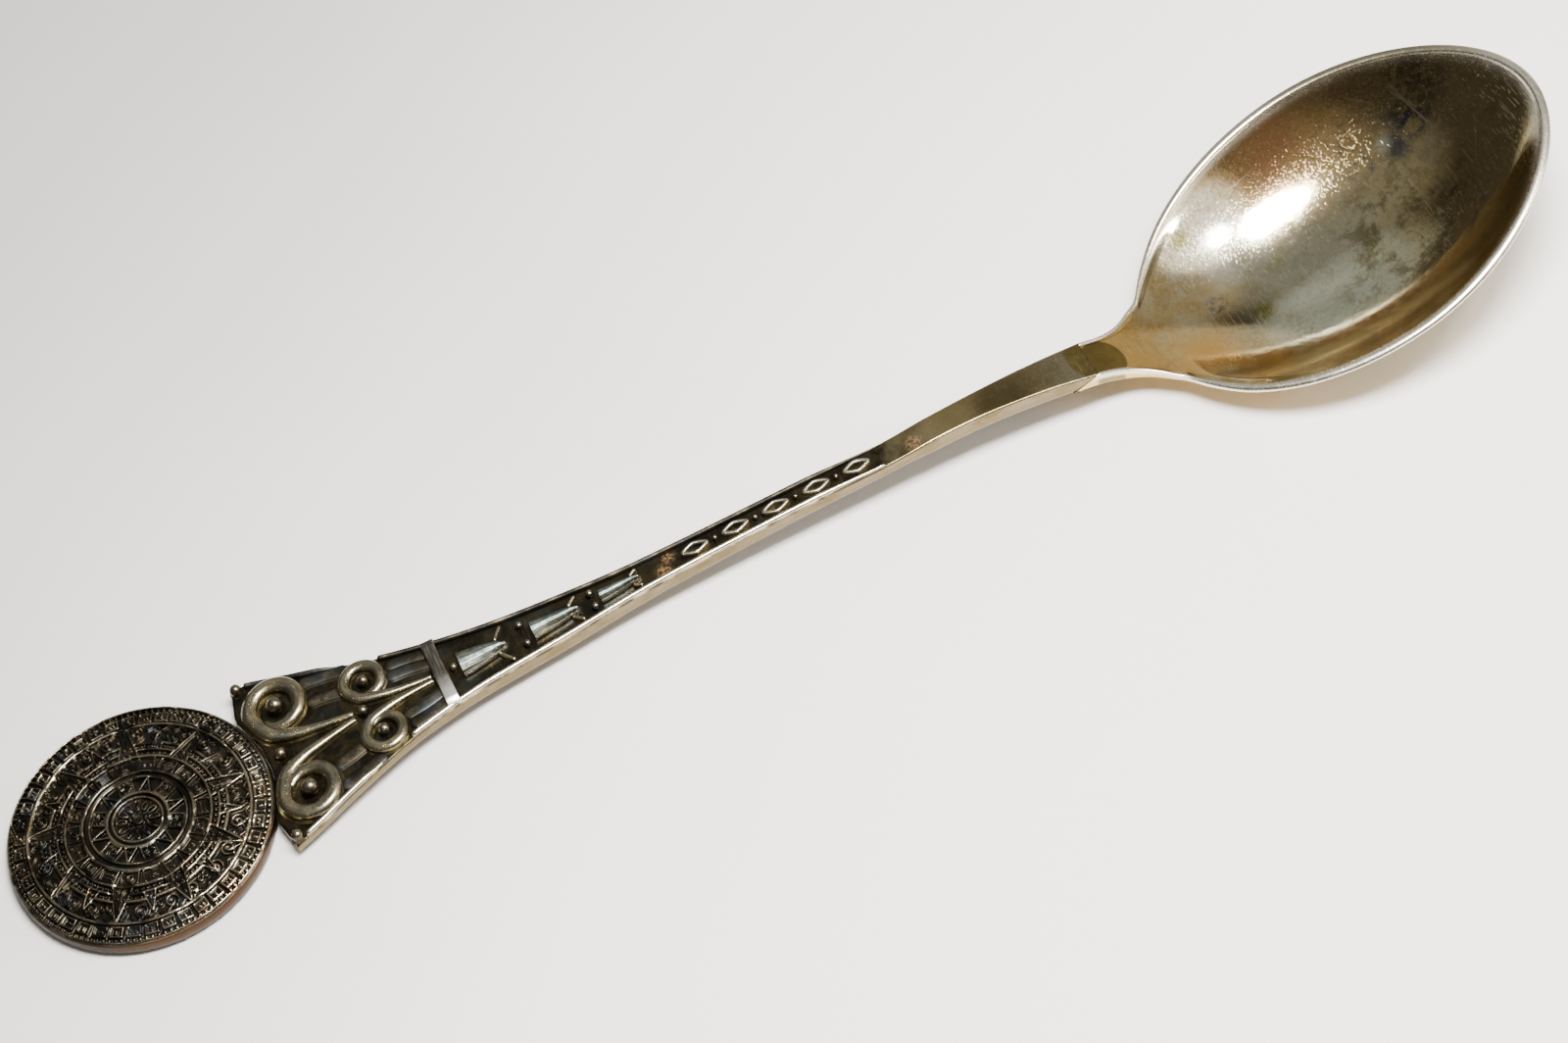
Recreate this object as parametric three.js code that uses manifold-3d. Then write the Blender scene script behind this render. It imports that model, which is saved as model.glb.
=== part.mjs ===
// Souvenir spoon in silver: an oval bowl soldered to a flat arched handle, which flares to two tips
// and carries a round medallion. Scrolls of wire, shot, leaves and rails are soldered on the handle.
// Millimetres. X runs from the medallion to the tip of the bowl, Y across, Z up from the table.
import * as THREE from "three";
import { mergeVertices } from "three/addons/utils/BufferGeometryUtils.js";
import Module from "manifold-3d";

const wasm = await Module();
wasm.setup();

// ---- Driving dimensions ----

const seatGap = 0.1; // between a soldered piece and what it lies on
const sideGap = 0.1; // between the medallion's edge and the handle cut to take it

const medallion = {
  radius: 10,
  edge: 1.5, // thickness at the rim
  sunk: 0.2, // how far the ground lies under the rim
  crown: 0.55, // how much the ground rises to the middle
  chamfer: 0.15,
  backChamfer: 0.5,
  draft: 0.06, // the foot of each ring is this much wider than its top
  boss: 0.1,
  sides: 72,
};
const medallionRings = [
  // outer edge and inner edge by their distance in from the rim, and the height over the ground
  { outer: 0.2, inner: 1.7, rise: 0.16 },
  { outer: 3.4, inner: 3.8, rise: 0.14 },
  { outer: 4.7, inner: 5.9, rise: 0.16 },
  { outer: 7.6, inner: 8.0, rise: 0.2 },
];

const handle = {
  length: 66.6, // from the medallion's edge to the top of the soldered lap
  flareLength: 30, // from the medallion's edge to where the stem is narrow
  neckLength: 16.6, // the arched stretch before the lap
  tipSetBack: 0.4, // the two tips reach back past the medallion's edge by this much
  tipHalfWidth: 7.45,
  stemHalfWidth: 1.14,
  neckHalfWidth: 1.12,
  endHeight: 1.4, // top face over the table, at the medallion
  archHeight: 5.0, // top face over the table, at its highest
};
// The flare's outline: distance from the medallion's edge, and half width.
const flareWidths = [
  [-handle.tipSetBack, handle.tipHalfWidth],
  [2, 6.75],
  [6, 5.4],
  [10, 4.02],
  [14, 3.07],
  [18, 2.43],
  [24, 1.85],
  [handle.flareLength, 1.36],
];
const handleThickness = { end: 0.8, flare: 1.15, middle: 1.35, stem: 1.15, neck: 1.5, lap: 1.3 };

const bowl = {
  length: 33.9, // along the rim
  width: 25.1,
  depth: 5.4, // inside, square to the rim
  wall: 0.8,
  rim: 0.85, // how wide the rounded rim is
  rimRound: 0.3, // how high its rounding is
  tilt: 18.5, // degrees that the tip stands up from level
  point: 0.09, // how far the tip's sides are drawn in
  deepest: -1.5, // the deepest place, from the middle of the bowl
  fullness: 2.4, // how flat the bottom of the bowl is
  segments: 56,
};
// The bowl's tang runs from the lap to the bowl's wall, and widens into the shoulders.
const tang = {
  reach: 8.3,
  halfWidth: 1.75,
  thickness: 1.1,
  rootThickness: 0.55,
  intoBowl: 3.1, // how far it runs in over the bowl's rear edge
  overRim: 0.85, // how far it comes in over the rim
  shoulderInset: 0.5, // how far the shoulders stay inside the rim's outline
};
// The slanting soldered lap of handle and bowl.
const lap = { length: 2.4, solder: 0.12, solderInset: 0.1, rise: 1.1 };

const railWire = 0.36;
const railEdge = 0.05; // how far the rail keeps back from the handle's edge
const railStart = 0.55;
const railPast = 0.85; // how far the rails run on after the last lozenge
const railBreak = { before: 1.05, after: 1.55 }; // the rail stops on both sides of the small scroll

// A scroll: how far back its turn reaches from the medallion's edge, how far it keeps from the handle's
// edge, its first radius, turns, wire and the shot that it winds round.
const bossGap = 0.27; // between that shot and the end of the wire
const largeScroll = {
  back: -0.27,
  edgeGap: railEdge + railWire + 0.12,
  radius: 2.0,
  turns: 0.77,
  wire: 0.84,
  boss: 0.65,
};
const smallScroll = { back: 6.7, edgeGap: 0.33, radius: 1.62, turns: 0.68, wire: 0.64, boss: 0.46 };
// Each scroll's tail from its free end to its turn: place along, and distance out from the pair's middle.
const tailGap = 0.1; // between the middle line and the tails' wires
const crossBand = { x: 13.4, width: 1.0, cover: 0.16, chamfer: 0.1, setBack: 0.08 };
const largeTail = [[6.6, 0.03], [4.5, 0.1], [2.6, 0.43], [1.1, 1.23], [0.45, 2.33]];
const smallTail = [[crossBand.x - 0.5, 0], [11.2, 0.04], [9.7, 0.14], [8.1, 0.56], [7.35, 1.18]];

const shot = { end: 0.45, middle: 0.42, tip: 0.42, band: 0.3, leaf: 0.3, lozenge: 0.24 };
const shotX = { end: 1.15, middle: 7.75, tip: -0.05, band: 14.95, leaf: [20.5, 26.1] };

const leaves = [
  { x: 15.45, length: 3.8, halfWidth: 1.15 },
  { x: 21.2, length: 3.9, halfWidth: 0.85 },
  { x: 26.7, length: 3.3, halfWidth: 0.6 },
];
const leafHeight = 0.4;
const leafFullness = 0.75; // how far along and across the middle of the leaf's curved side is held
const spur = { width: 0.26, height: 0.3, back: 0.8, ahead: -0.1, clear: 0.12 };

const reedWire = 0.28;
const reeds = [
  // name, then start and end: place along, and distance in from the handle's edge
  ["outer_reed", [4.85, 0.95], [7.2, 0.75]],
  ["inner_reed", [4.95, 2.8], [6.4, 2.65]],
  ["outer_band_reed", [11.2, 0.95], [crossBand.x - 0.3, 0.95]],
  ["inner_band_reed", [11.0, 1.95], [crossBand.x - 0.3, 1.8]],
];

const lozenge = { count: 5, first: 34.4, pitch: 3.3, length: 2.3, bar: 0.2, height: 0.3, clear: 0.15 };

// ---- Materials ----

const silver = (color, roughness) =>
  new THREE.MeshStandardMaterial({ color, roughness, metalness: 1 });
const finishes = {
  bowl: silver(0xb8aa84, 0.26),
  handle: silver(0x6f6a5c, 0.42),
  wire: silver(0xb4b0a6, 0.3),
  medallion: silver(0x4c453a, 0.45),
  solder: silver(0x8a8468, 0.5),
};

const spoon = new THREE.Group();

function addPiece(name, geometry, material) {
  const mesh = new THREE.Mesh(geometry, material.clone());
  mesh.name = name;
  spoon.add(mesh);
  return mesh;
}

// ---- Solids ----

function toSolid(geometry) {
  const plain = geometry.clone();
  plain.deleteAttribute("normal");
  plain.deleteAttribute("uv");
  const merged = mergeVertices(plain, 1e-4);
  return new wasm.Manifold(
    new wasm.Mesh({
      numProp: 3,
      vertProperties: merged.attributes.position.array,
      triVerts: new Uint32Array(merged.index.array),
    }),
  );
}

function toGeometry(solid) {
  const mesh = solid.getMesh();
  const geometry = new THREE.BufferGeometry();
  geometry.setAttribute("position", new THREE.BufferAttribute(mesh.vertProperties, 3));
  geometry.setIndex(new THREE.BufferAttribute(mesh.triVerts, 1));
  geometry.computeVertexNormals();
  return geometry;
}

const outline = (points) => new THREE.Shape(points.map(([x, y]) => new THREE.Vector2(x, y)));

// A flat outline in X and Y, as a slab from the table to well above the spoon.
function planSlab(points) {
  const tall = 30;
  const slab = new THREE.ExtrudeGeometry(outline(points), { depth: tall, bevelEnabled: false });
  return toSolid(slab.translate(0, 0, -tall / 2));
}

// A side view in X and Z, as a slab right across the spoon.
function sideSlab(points) {
  const across = 40;
  const slab = new THREE.ExtrudeGeometry(outline(points), { depth: across, bevelEnabled: false });
  return toSolid(slab.translate(0, 0, -across / 2).rotateX(Math.PI / 2));
}

// ---- The lines of the handle ----

const handleEnd = medallion.radius;
const lapX = handleEnd + handle.length;
const curveOf = (points) => new THREE.SplineCurve(points.map(([x, y]) => new THREE.Vector2(x, y)));
const stationCount = 44;

// A place on the stem between the flare and the neck, by its share of the way.
const stemLength = handle.length - handle.flareLength - handle.neckLength;
const onStem = (share) => handleEnd + handle.flareLength + share * stemLength;

// The spline's value at x, found between its sampled points.
function sampled(points) {
  const line = curveOf(points).getPoints(240);
  return (x) => {
    let next = line.findIndex((p) => p.x >= x);
    if (next === -1) next = line.length - 1;
    if (next === 0) next = 1;
    const before = line[next - 1];
    const t = (x - before.x) / (line[next].x - before.x);
    return before.y + t * (line[next].y - before.y);
  };
}

const halfWidth = sampled([
  ...flareWidths.map(([x, width]) => [handleEnd + x, width]),
  [onStem(0.5), handle.stemHalfWidth],
  [lapX - 12, handle.neckHalfWidth],
  [lapX - 4.7, handle.neckHalfWidth + 0.3],
  [lapX, tang.halfWidth],
]);
const railInside = (x) => halfWidth(x) - railEdge - railWire;

// The bowl's outer section over the rim plane, by the share of the way out to the rim.
const tilt = THREE.MathUtils.degToRad(bowl.tilt);
const outerDepth = bowl.depth + bowl.wall;
const sectionDepth = (share, depth) =>
  bowl.rimRound + (depth - bowl.rimRound) * (1 - share ** bowl.fullness);
const rearReach = bowl.length / 2 + bowl.deepest;

// How far the lowest place of the tilted bowl lies under the middle of its rim.
function bowlDrop() {
  let lowest = 0;
  for (let share = 0; share <= 1; share += 0.005) {
    const s = bowl.deepest - share * rearReach;
    const height = s * Math.sin(tilt) - sectionDepth(share, outerDepth) * Math.cos(tilt);
    lowest = Math.min(lowest, height);
  }
  return -lowest;
}

const rimMiddleZ = bowlDrop();
const bowlRearX = lapX + tang.reach - tang.intoBowl;
const rimMiddleX = bowlRearX + (bowl.length / 2) * Math.cos(tilt);
const rimZ = (x) => rimMiddleZ + (x - rimMiddleX) * Math.tan(tilt);
const neckZ = rimZ(bowlRearX) + tang.overRim;
const lapZ = neckZ + lap.rise;

const topZ = sampled([
  [handleEnd - 4, handle.endHeight - 0.15],
  [handleEnd + 2, handle.endHeight + 0.25],
  [handleEnd + 6.7, handle.endHeight + 0.7],
  [handleEnd + 13.3, handle.endHeight + 1.0],
  [handleEnd + 22.6, handle.endHeight + 1.15],
  [onStem(0.16), handle.archHeight - 1.75],
  [onStem(0.63), handle.archHeight - 1.15],
  [lapX - handle.neckLength, handle.archHeight - 0.8],
  [lapX - 13.3, handle.archHeight - 0.3],
  [lapX - 8.7, handle.archHeight],
  [lapX - 4, handle.archHeight - 0.15],
  [lapX, lapZ],
  [lapX + 3.6, neckZ + 0.1],
  [lapX + 6.2, neckZ - 0.05],
  [lapX + 9, neckZ + 0.3],
]);

const thickness = sampled([
  [handleEnd - 4, handleThickness.end],
  [handleEnd + 6.7, handleThickness.end + 0.1],
  [handleEnd + 14, handleThickness.flare],
  [handleEnd + 24, handleThickness.middle],
  [lapX - handle.neckLength, handleThickness.stem],
  [lapX - 13.3, handleThickness.neck],
  [lapX - 5.3, handleThickness.neck],
  [lapX, handleThickness.lap],
  [lapX + 3, tang.thickness],
  [lapX + 9, tang.rootThickness],
]);

function stations(from, to, count) {
  return Array.from({ length: count + 1 }, (_, i) => from + ((to - from) * i) / count);
}

// Side view between two stations: the top line out, the underside back.
function sideView(from, to, count) {
  const xs = stations(from, to, count);
  const top = xs.map((x) => [x, topZ(x)]);
  const under = xs.map((x) => [x, topZ(x) - thickness(x)]).reverse();
  return sideSlab([...top, ...under]);
}

// ---- Placing on the handle's face ----

const slopeAt = (x) => Math.atan2(topZ(x + 0.2) - topZ(x - 0.2), 0.4);

// A piece modelled over its own origin, seated at a place on the handle and turned to its slope.
function seat(name, geometry, material, x, y, turn = 0) {
  const piece = addPiece(name, geometry, material);
  piece.position.set(handleEnd + x, y, topZ(handleEnd + x) + seatGap);
  piece.rotation.set(0, -slopeAt(handleEnd + x), turn, "YZX");
  return piece;
}

// A round wire that follows the handle's face through places along and across it.
function wireOnFace(points, diameter, steps, sides) {
  const radius = diameter / 2;
  const lift = seatGap + radius;
  const path = new THREE.CatmullRomCurve3(
    points.map(([x, y]) => new THREE.Vector3(handleEnd + x, y, topZ(handleEnd + x) + lift)),
    false,
    "centripetal",
  );
  const section = new THREE.Shape();
  section.absarc(0, 0, radius, 0, Math.PI * 2);
  return new THREE.ExtrudeGeometry(section, {
    extrudePath: path,
    steps,
    curveSegments: sides,
    bevelEnabled: false,
  });
}

const shotGeometry = (radius) =>
  new THREE.SphereGeometry(radius, 12, 8).rotateX(Math.PI / 2).translate(0, 0, radius);

const sides = [
  ["left", 1],
  ["right", -1],
];

// ---- Medallion ----

// Its rings stand on a gently crowned ground, over a flat back.
function medallionGeometry() {
  const { radius, edge, sunk, crown, chamfer, backChamfer, draft, boss } = medallion;
  const ground = (r) => edge - sunk + crown * (1 - (r / radius) ** 2);
  const profile = [
    [0, 0],
    [radius - backChamfer, 0],
    [radius, backChamfer],
    [radius, edge - chamfer],
    [radius - chamfer, ground(radius)],
  ];
  for (const ring of medallionRings) {
    const outer = radius - ring.outer;
    const inner = radius - ring.inner;
    const high = ground((outer + inner) / 2) + ring.rise;
    profile.push([outer, ground(outer)]);
    profile.push([outer - draft, high]);
    profile.push([inner + draft, high]);
    profile.push([inner, ground(inner)]);
  }
  profile.push([0, ground(0) + boss]);
  const points = profile.map(([r, z]) => new THREE.Vector2(r, z));
  return new THREE.LatheGeometry(points, medallion.sides).rotateX(Math.PI / 2);
}

addPiece("medallion", medallionGeometry(), finishes.medallion);

// ---- Handle and bowl ----

// The slanting faces of the lap: the handle ends above the bowl's tang.
function lapHalf(side, offset) {
  const far = handle.length + 2 * medallion.radius; // well past the handle's other end
  const past = 4; // the slanting face runs on by this many laps, above and below
  const run = lap.length * past;
  const fall = handleThickness.neck * past;
  const top = [lapX + offset + run, lapZ + fall];
  const low = [lapX + offset - run, lapZ - fall];
  const back = side * far;
  const corners = [low, [low[0] + back, low[1]], [top[0] + back, top[1]], top];
  return sideSlab(side > 0 ? corners : corners.reverse());
}

function handleOutline() {
  const from = handleEnd - handle.tipSetBack;
  const behind = [from - 0.7, handle.tipHalfWidth * 0.6]; // inside the medallion's cut
  const edge = stations(from, lapX + 1, stationCount).map((x) => [x, halfWidth(x)]);
  const half = [behind, ...edge];
  const mirrored = half.map(([x, y]) => [x, -y]);
  return [...mirrored, ...half.reverse()];
}

function handleSolid() {
  const blank = planSlab(handleOutline()).intersect(sideView(handleEnd - 3.3, lapX + 1, stationCount));
  const cutter = new THREE.CylinderGeometry(1, 1, 20, medallion.sides).rotateX(Math.PI / 2);
  const reach = medallion.radius + sideGap;
  cutter.scale(reach, reach, 1);
  return blank.subtract(toSolid(cutter)).intersect(lapHalf(-1, 0));
}

addPiece("handle", toGeometry(handleSolid()), finishes.handle);

// A point of the rim's outline, drawn in towards the tip.
function rimPoint(angle) {
  const ahead = Math.max(0, Math.cos(angle));
  const s = (bowl.length / 2) * Math.cos(angle);
  const t = (bowl.width / 2) * Math.sin(angle) * (1 - bowl.point * ahead * ahead);
  return [s, t];
}

// Turns a section of shares and heights into the oval bowl, tilted over its lowest place.
function ovalTurned(section) {
  const points = section.map(([share, height]) => new THREE.Vector2(share, height));
  const geometry = new THREE.LatheGeometry(points, bowl.segments);
  const place = geometry.attributes.position;
  for (let i = 0; i < place.count; i++) {
    const share = Math.hypot(place.getX(i), place.getZ(i));
    const [s, t] = rimPoint(Math.atan2(place.getZ(i), place.getX(i)));
    const reachS = bowl.deepest + share * (s - bowl.deepest);
    place.setXYZ(i, reachS, share * t, place.getY(i));
  }
  geometry.rotateY(-tilt).translate(rimMiddleX, 0, rimMiddleZ);
  return geometry;
}

const rimShare = 1 - bowl.rim / (bowl.width / 2);
const wallSteps = 9;
const insideDepth = (share) => -sectionDepth(share / rimShare, bowl.depth);

function bowlShell() {
  const inside = stations(0, rimShare, wallSteps).map((share) => [share, insideDepth(share)]);
  const middle = (1 + rimShare) / 2;
  const rimTop = stations(0, 1, 4).slice(1, -1).map((t) => {
    const turn = Math.PI * (1 - t);
    const high = bowl.rimRound * (Math.sin(turn) - 1);
    return [middle + ((1 - rimShare) / 2) * Math.cos(turn), high];
  });
  const outside = stations(1, 0, wallSteps).map((share) => [share, -sectionDepth(share, outerDepth)]);
  return toSolid(ovalTurned([...inside, ...rimTop, ...outside]));
}

// The space inside the bowl, carried up past the rim so that it cuts the tang clear.
function bowlSpace() {
  const inside = stations(0, rimShare, wallSteps).map((share) => [share, insideDepth(share)]);
  return toSolid(ovalTurned([...inside, [rimShare, 8], [0, 8]].reverse()));
}

// Half the rim's width where the rim passes over x.
function rimHalfWidth(x) {
  const s = (x - rimMiddleX) / Math.cos(tilt);
  return rimPoint(Math.acos(s / (bowl.length / 2)))[1];
}

function tangSolid() {
  const from = lapX - 4;
  const root = lapX + tang.reach;
  const shoulder = rimHalfWidth(root) - tang.shoulderInset;
  const edge = curveOf([
    [from, halfWidth(from)],
    [lapX, tang.halfWidth],
    [lapX + 1.9, tang.halfWidth + 0.15],
    [lapX + 3.6, tang.halfWidth + 0.75],
    [lapX + 5.2, tang.halfWidth + 1.9],
    [root - 1.2, shoulder - 1.7],
    [root, shoulder],
  ]).getPoints(30);
  const half = edge.map((p) => [p.x, p.y]);
  const mirrored = half.map(([x, y]) => [x, -y]);
  const plan = planSlab([...mirrored, ...half.reverse()]);
  return plan.intersect(sideView(from, root, 24));
}

const tangOnly = tangSolid().subtract(bowlSpace()).intersect(lapHalf(1, lap.solder));
addPiece("bowl", toGeometry(tangOnly.add(bowlShell())), finishes.bowl);

// The sheet of solder stays a little inside the lap's two faces.
function solderSheet() {
  const half = tang.halfWidth - lap.solderInset;
  const [from, to] = [lapX - 4, lapX + 1];
  const strip = planSlab([[from, -half], [to, -half], [to, half], [from, half]]);
  const sheet = lapHalf(1, 0).intersect(lapHalf(-1, lap.solder)).intersect(strip);
  return sheet.intersect(sideView(from, to, 12));
}

addPiece("lap_solder", toGeometry(solderSheet()), finishes.solder);

// ---- Rails along the edges, with a bead of shot on each tip ----

const lozengeEnd = lozenge.first + (lozenge.count - 1) * lozenge.pitch + lozenge.length / 2;
const smallScrollX = smallScroll.back + smallScroll.radius + smallScroll.wire / 2;
const railRuns = [
  ["tip_rail", railStart, smallScrollX - railBreak.before],
  ["edge_rail", smallScrollX + railBreak.after, lozengeEnd + railPast],
];

for (const [side, sign] of sides) {
  const inset = railEdge + railWire / 2;
  for (const [name, from, to] of railRuns) {
    const steps = Math.ceil((to - from) / 2);
    const path = stations(from, to, steps).map((x) => [x, sign * (halfWidth(handleEnd + x) - inset)]);
    addPiece(`${name}_${side}`, wireOnFace(path, railWire, steps * 2, 4), finishes.wire);
  }
  const tipY = sign * (handle.tipHalfWidth - shot.tip - railEdge);
  seat(`tip_shot_${side}`, shotGeometry(shot.tip), finishes.wire, shotX.tip, tipY);
}

// ---- Scrolls ----

// The middle of the turn, so that its wire keeps its distances from the handle's end and edge.
function scrollMiddle({ back, edgeGap, radius, wire }) {
  const x = back + radius + wire / 2;
  return [x, halfWidth(handleEnd + x) - edgeGap - radius * 0.9 - wire / 2];
}

// The tail, then a turn that winds in around the boss.
function scrollPath(scroll, tail, sign) {
  const [middleX, middleY] = scrollMiddle(scroll);
  const last = scroll.boss + bossGap + scroll.wire / 2;
  const turn = stations(0, 1, 12).map((t) => {
    const angle = Math.PI + t * scroll.turns * Math.PI * 2;
    const radius = scroll.radius + t * (last - scroll.radius);
    return [middleX + radius * Math.cos(angle), middleY - radius * Math.sin(angle)];
  });
  const run = tail.map(([x, out]) => [x, tailGap + scroll.wire / 2 + out]);
  return [...run, ...turn].map(([x, y]) => [x, sign * y]);
}

for (const [side, sign] of sides) {
  for (const [size, scroll, tail] of [
    ["large", largeScroll, largeTail],
    ["small", smallScroll, smallTail],
  ]) {
    const path = scrollPath(scroll, tail, sign);
    addPiece(`${size}_scroll_${side}`, wireOnFace(path, scroll.wire, 38, 4), finishes.wire);
    const [x, y] = scrollMiddle(scroll);
    seat(`${size}_boss_${side}`, shotGeometry(scroll.boss), finishes.wire, x, sign * y);
  }
  for (const [name, start, end] of reeds) {
    const path = [start, end].map(([x, inset]) => [x, sign * (halfWidth(handleEnd + x) - inset)]);
    addPiece(`${name}_${side}`, wireOnFace(path, reedWire, 4, 3), finishes.wire);
  }
}

seat("end_shot", shotGeometry(shot.end), finishes.wire, shotX.end, 0);
seat("middle_shot", shotGeometry(shot.middle), finishes.wire, shotX.middle, 0);

// ---- Cross band, notched over the rails ----

function bandGeometry() {
  const middleX = crossBand.x + crossBand.width / 2;
  const reach = halfWidth(handleEnd + middleX) - crossBand.setBack;
  const notch = railWire + seatGap;
  const step = railInside(handleEnd + middleX) - 0.35;
  const top = notch + crossBand.cover;
  const section = outline([
    [-step, 0],
    [step, 0],
    [step, notch],
    [reach, notch],
    [reach, top - crossBand.chamfer],
    [reach - crossBand.chamfer, top],
    [crossBand.chamfer - reach, top],
    [-reach, top - crossBand.chamfer],
    [-reach, notch],
    [-step, notch],
  ]);
  const bar = new THREE.ExtrudeGeometry(section, { depth: crossBand.width, bevelEnabled: false });
  return bar.rotateX(Math.PI / 2).rotateZ(Math.PI / 2).translate(-crossBand.width / 2, 0, 0);
}

seat("cross_band", bandGeometry(), finishes.wire, crossBand.x + crossBand.width / 2, 0);
seat("band_shot", shotGeometry(shot.band), finishes.wire, shotX.band, 0);

// ---- Leaves, each with its spurs to the rails, and the shot between them ----

function leafGeometry({ length, halfWidth: half }) {
  const shape = new THREE.Shape();
  shape.moveTo(0, -half);
  shape.quadraticCurveTo(length * leafFullness, -half * leafFullness, length, 0);
  shape.quadraticCurveTo(length * leafFullness, half * leafFullness, 0, half);
  shape.closePath();
  const leaf = new THREE.ExtrudeGeometry(shape, {
    depth: leafHeight,
    curveSegments: 8,
    bevelEnabled: false,
  });
  return leaf.translate(-length / 2, 0, 0);
}

// A spur runs from beside the leaf's tip out towards the rail.
function spurEnds(leaf) {
  const tip = leaf.x + leaf.length;
  const leafSide = (leaf.halfWidth * spur.back) / leaf.length + spur.width;
  const start = [tip - spur.back, leafSide + spur.clear];
  const end = [tip + spur.ahead, railInside(handleEnd + tip) - spur.width / 2 - spur.clear];
  return [start, end];
}

leaves.forEach((leaf, i) => {
  const number = i + 1;
  seat(`leaf_${number}`, leafGeometry(leaf), finishes.wire, leaf.x + leaf.length / 2, 0);
  const [start, end] = spurEnds(leaf);
  const length = Math.hypot(end[0] - start[0], end[1] - start[1]);
  const turn = Math.atan2(end[1] - start[1], end[0] - start[0]);
  for (const [side, sign] of sides) {
    const bar = new THREE.BoxGeometry(length, spur.width, spur.height).translate(0, 0, spur.height / 2);
    const middleX = (start[0] + end[0]) / 2;
    const middleY = (sign * (start[1] + end[1])) / 2;
    seat(`spur_${number}_${side}`, bar, finishes.wire, middleX, middleY, sign * turn);
  }
});

shotX.leaf.forEach((x, i) => {
  for (const [side, sign] of sides) {
    const y = (sign * railInside(handleEnd + x)) / 2;
    seat(`leaf_shot_${i + 1}_${side}`, shotGeometry(shot.leaf), finishes.wire, x, y);
  }
});

// ---- Wire lozenges along the narrow part, with shot between ----

const lozengeHalfWidth = railInside(handleEnd + lozengeEnd) - lozenge.clear;

function lozengeGeometry() {
  const rhombus = (x, y) => [[x, 0], [0, y], [-x, 0], [0, -y]];
  const shape = outline(rhombus(lozenge.length / 2, lozengeHalfWidth));
  const inside = rhombus(lozenge.length / 2 - lozenge.bar * 2, lozengeHalfWidth - lozenge.bar);
  shape.holes.push(new THREE.Path(inside.reverse().map(([x, y]) => new THREE.Vector2(x, y))));
  return new THREE.ExtrudeGeometry(shape, { depth: lozenge.height, bevelEnabled: false });
}

for (let i = 0; i < lozenge.count; i++) {
  const x = lozenge.first + i * lozenge.pitch;
  seat(`lozenge_${i + 1}`, lozengeGeometry(), finishes.wire, x, 0);
  if (i < lozenge.count - 1) {
    const between = x + lozenge.pitch / 2;
    seat(`lozenge_shot_${i + 1}`, shotGeometry(shot.lozenge), finishes.wire, between, 0);
  }
}

// The part's origin is on the table, under the middle of its length.
const tipX = rimMiddleX + (bowl.length / 2) * Math.cos(tilt);
spoon.position.x = -(tipX - medallion.radius) / 2;

export default spoon;
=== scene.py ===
import math
import bpy
import bmesh
import numpy as np
from mathutils import Euler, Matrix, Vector
from mathutils.bvhtree import BVHTree


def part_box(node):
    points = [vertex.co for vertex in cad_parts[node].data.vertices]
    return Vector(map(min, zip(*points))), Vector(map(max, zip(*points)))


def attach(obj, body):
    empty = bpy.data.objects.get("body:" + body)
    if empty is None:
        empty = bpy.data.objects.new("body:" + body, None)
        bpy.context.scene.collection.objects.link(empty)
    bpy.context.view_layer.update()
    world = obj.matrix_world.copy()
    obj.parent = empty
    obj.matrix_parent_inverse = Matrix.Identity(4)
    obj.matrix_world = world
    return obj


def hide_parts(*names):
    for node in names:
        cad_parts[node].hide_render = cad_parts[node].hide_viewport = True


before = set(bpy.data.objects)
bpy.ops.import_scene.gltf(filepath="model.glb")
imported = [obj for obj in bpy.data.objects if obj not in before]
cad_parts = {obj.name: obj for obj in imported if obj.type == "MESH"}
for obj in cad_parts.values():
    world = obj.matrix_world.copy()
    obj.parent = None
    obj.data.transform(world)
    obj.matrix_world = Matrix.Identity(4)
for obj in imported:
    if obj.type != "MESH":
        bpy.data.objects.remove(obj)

# Looks for a silver souvenir spoon. Metres; x runs from the medallion to the bowl's tip, z is up.
mm = 0.001
scene = bpy.context.scene
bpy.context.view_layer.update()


def middleOf(node):
    low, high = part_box(node)
    return (low + high) / 2


discMiddle = middleOf("medallion")
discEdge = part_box("medallion")[1].x  # the handle's distances are counted from here
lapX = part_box("handle")[1].x
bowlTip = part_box("bowl")[1]

# camera: millimetres from the medallion's middle, and degrees
view = {"from": (19.717, -146.896, 203.857), "turn": (35.872, 9.169, -24.177), "lens": 78.75,
        "shift": (0.011, -0.0061), "film": 36, "nearest": 0.005}

camData = bpy.data.cameras.new("camera")
camData.lens = view["lens"]
camData.sensor_width = view["film"]
camData.shift_x, camData.shift_y = view["shift"]
camData.clip_start = view["nearest"]
camera = bpy.data.objects.new("camera", camData)
camera.location = Vector((discMiddle.x, 0, 0)) + Vector(view["from"]) * mm
camera.rotation_euler = Euler([math.radians(a) for a in view["turn"]])
scene.collection.objects.link(camera)
scene.camera = camera
print("camera set")


# a shader socket that takes part in sums
class Value:
    def __init__(self, look, socket):
        self.look = look
        self.socket = socket

    def maths(self, operation, *others):
        return self.look.add("ShaderNodeMath", {"operation": operation}, others)

    def __add__(self, other):
        return self.maths("ADD", self, other)

    def __sub__(self, other):
        return self.maths("SUBTRACT", self, other)

    def __rsub__(self, other):
        return self.maths("SUBTRACT", other, self)

    def __mul__(self, other):
        return self.maths("MULTIPLY", self, other)

    __radd__ = __add__
    __rmul__ = __mul__

    def clipped(self):
        return self.look.add("ShaderNodeClamp", {}, [self])


shaderSockets = {"color": "Base Color", "metallic": "Metallic", "roughness": "Roughness", "normal": "Normal"}


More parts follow.
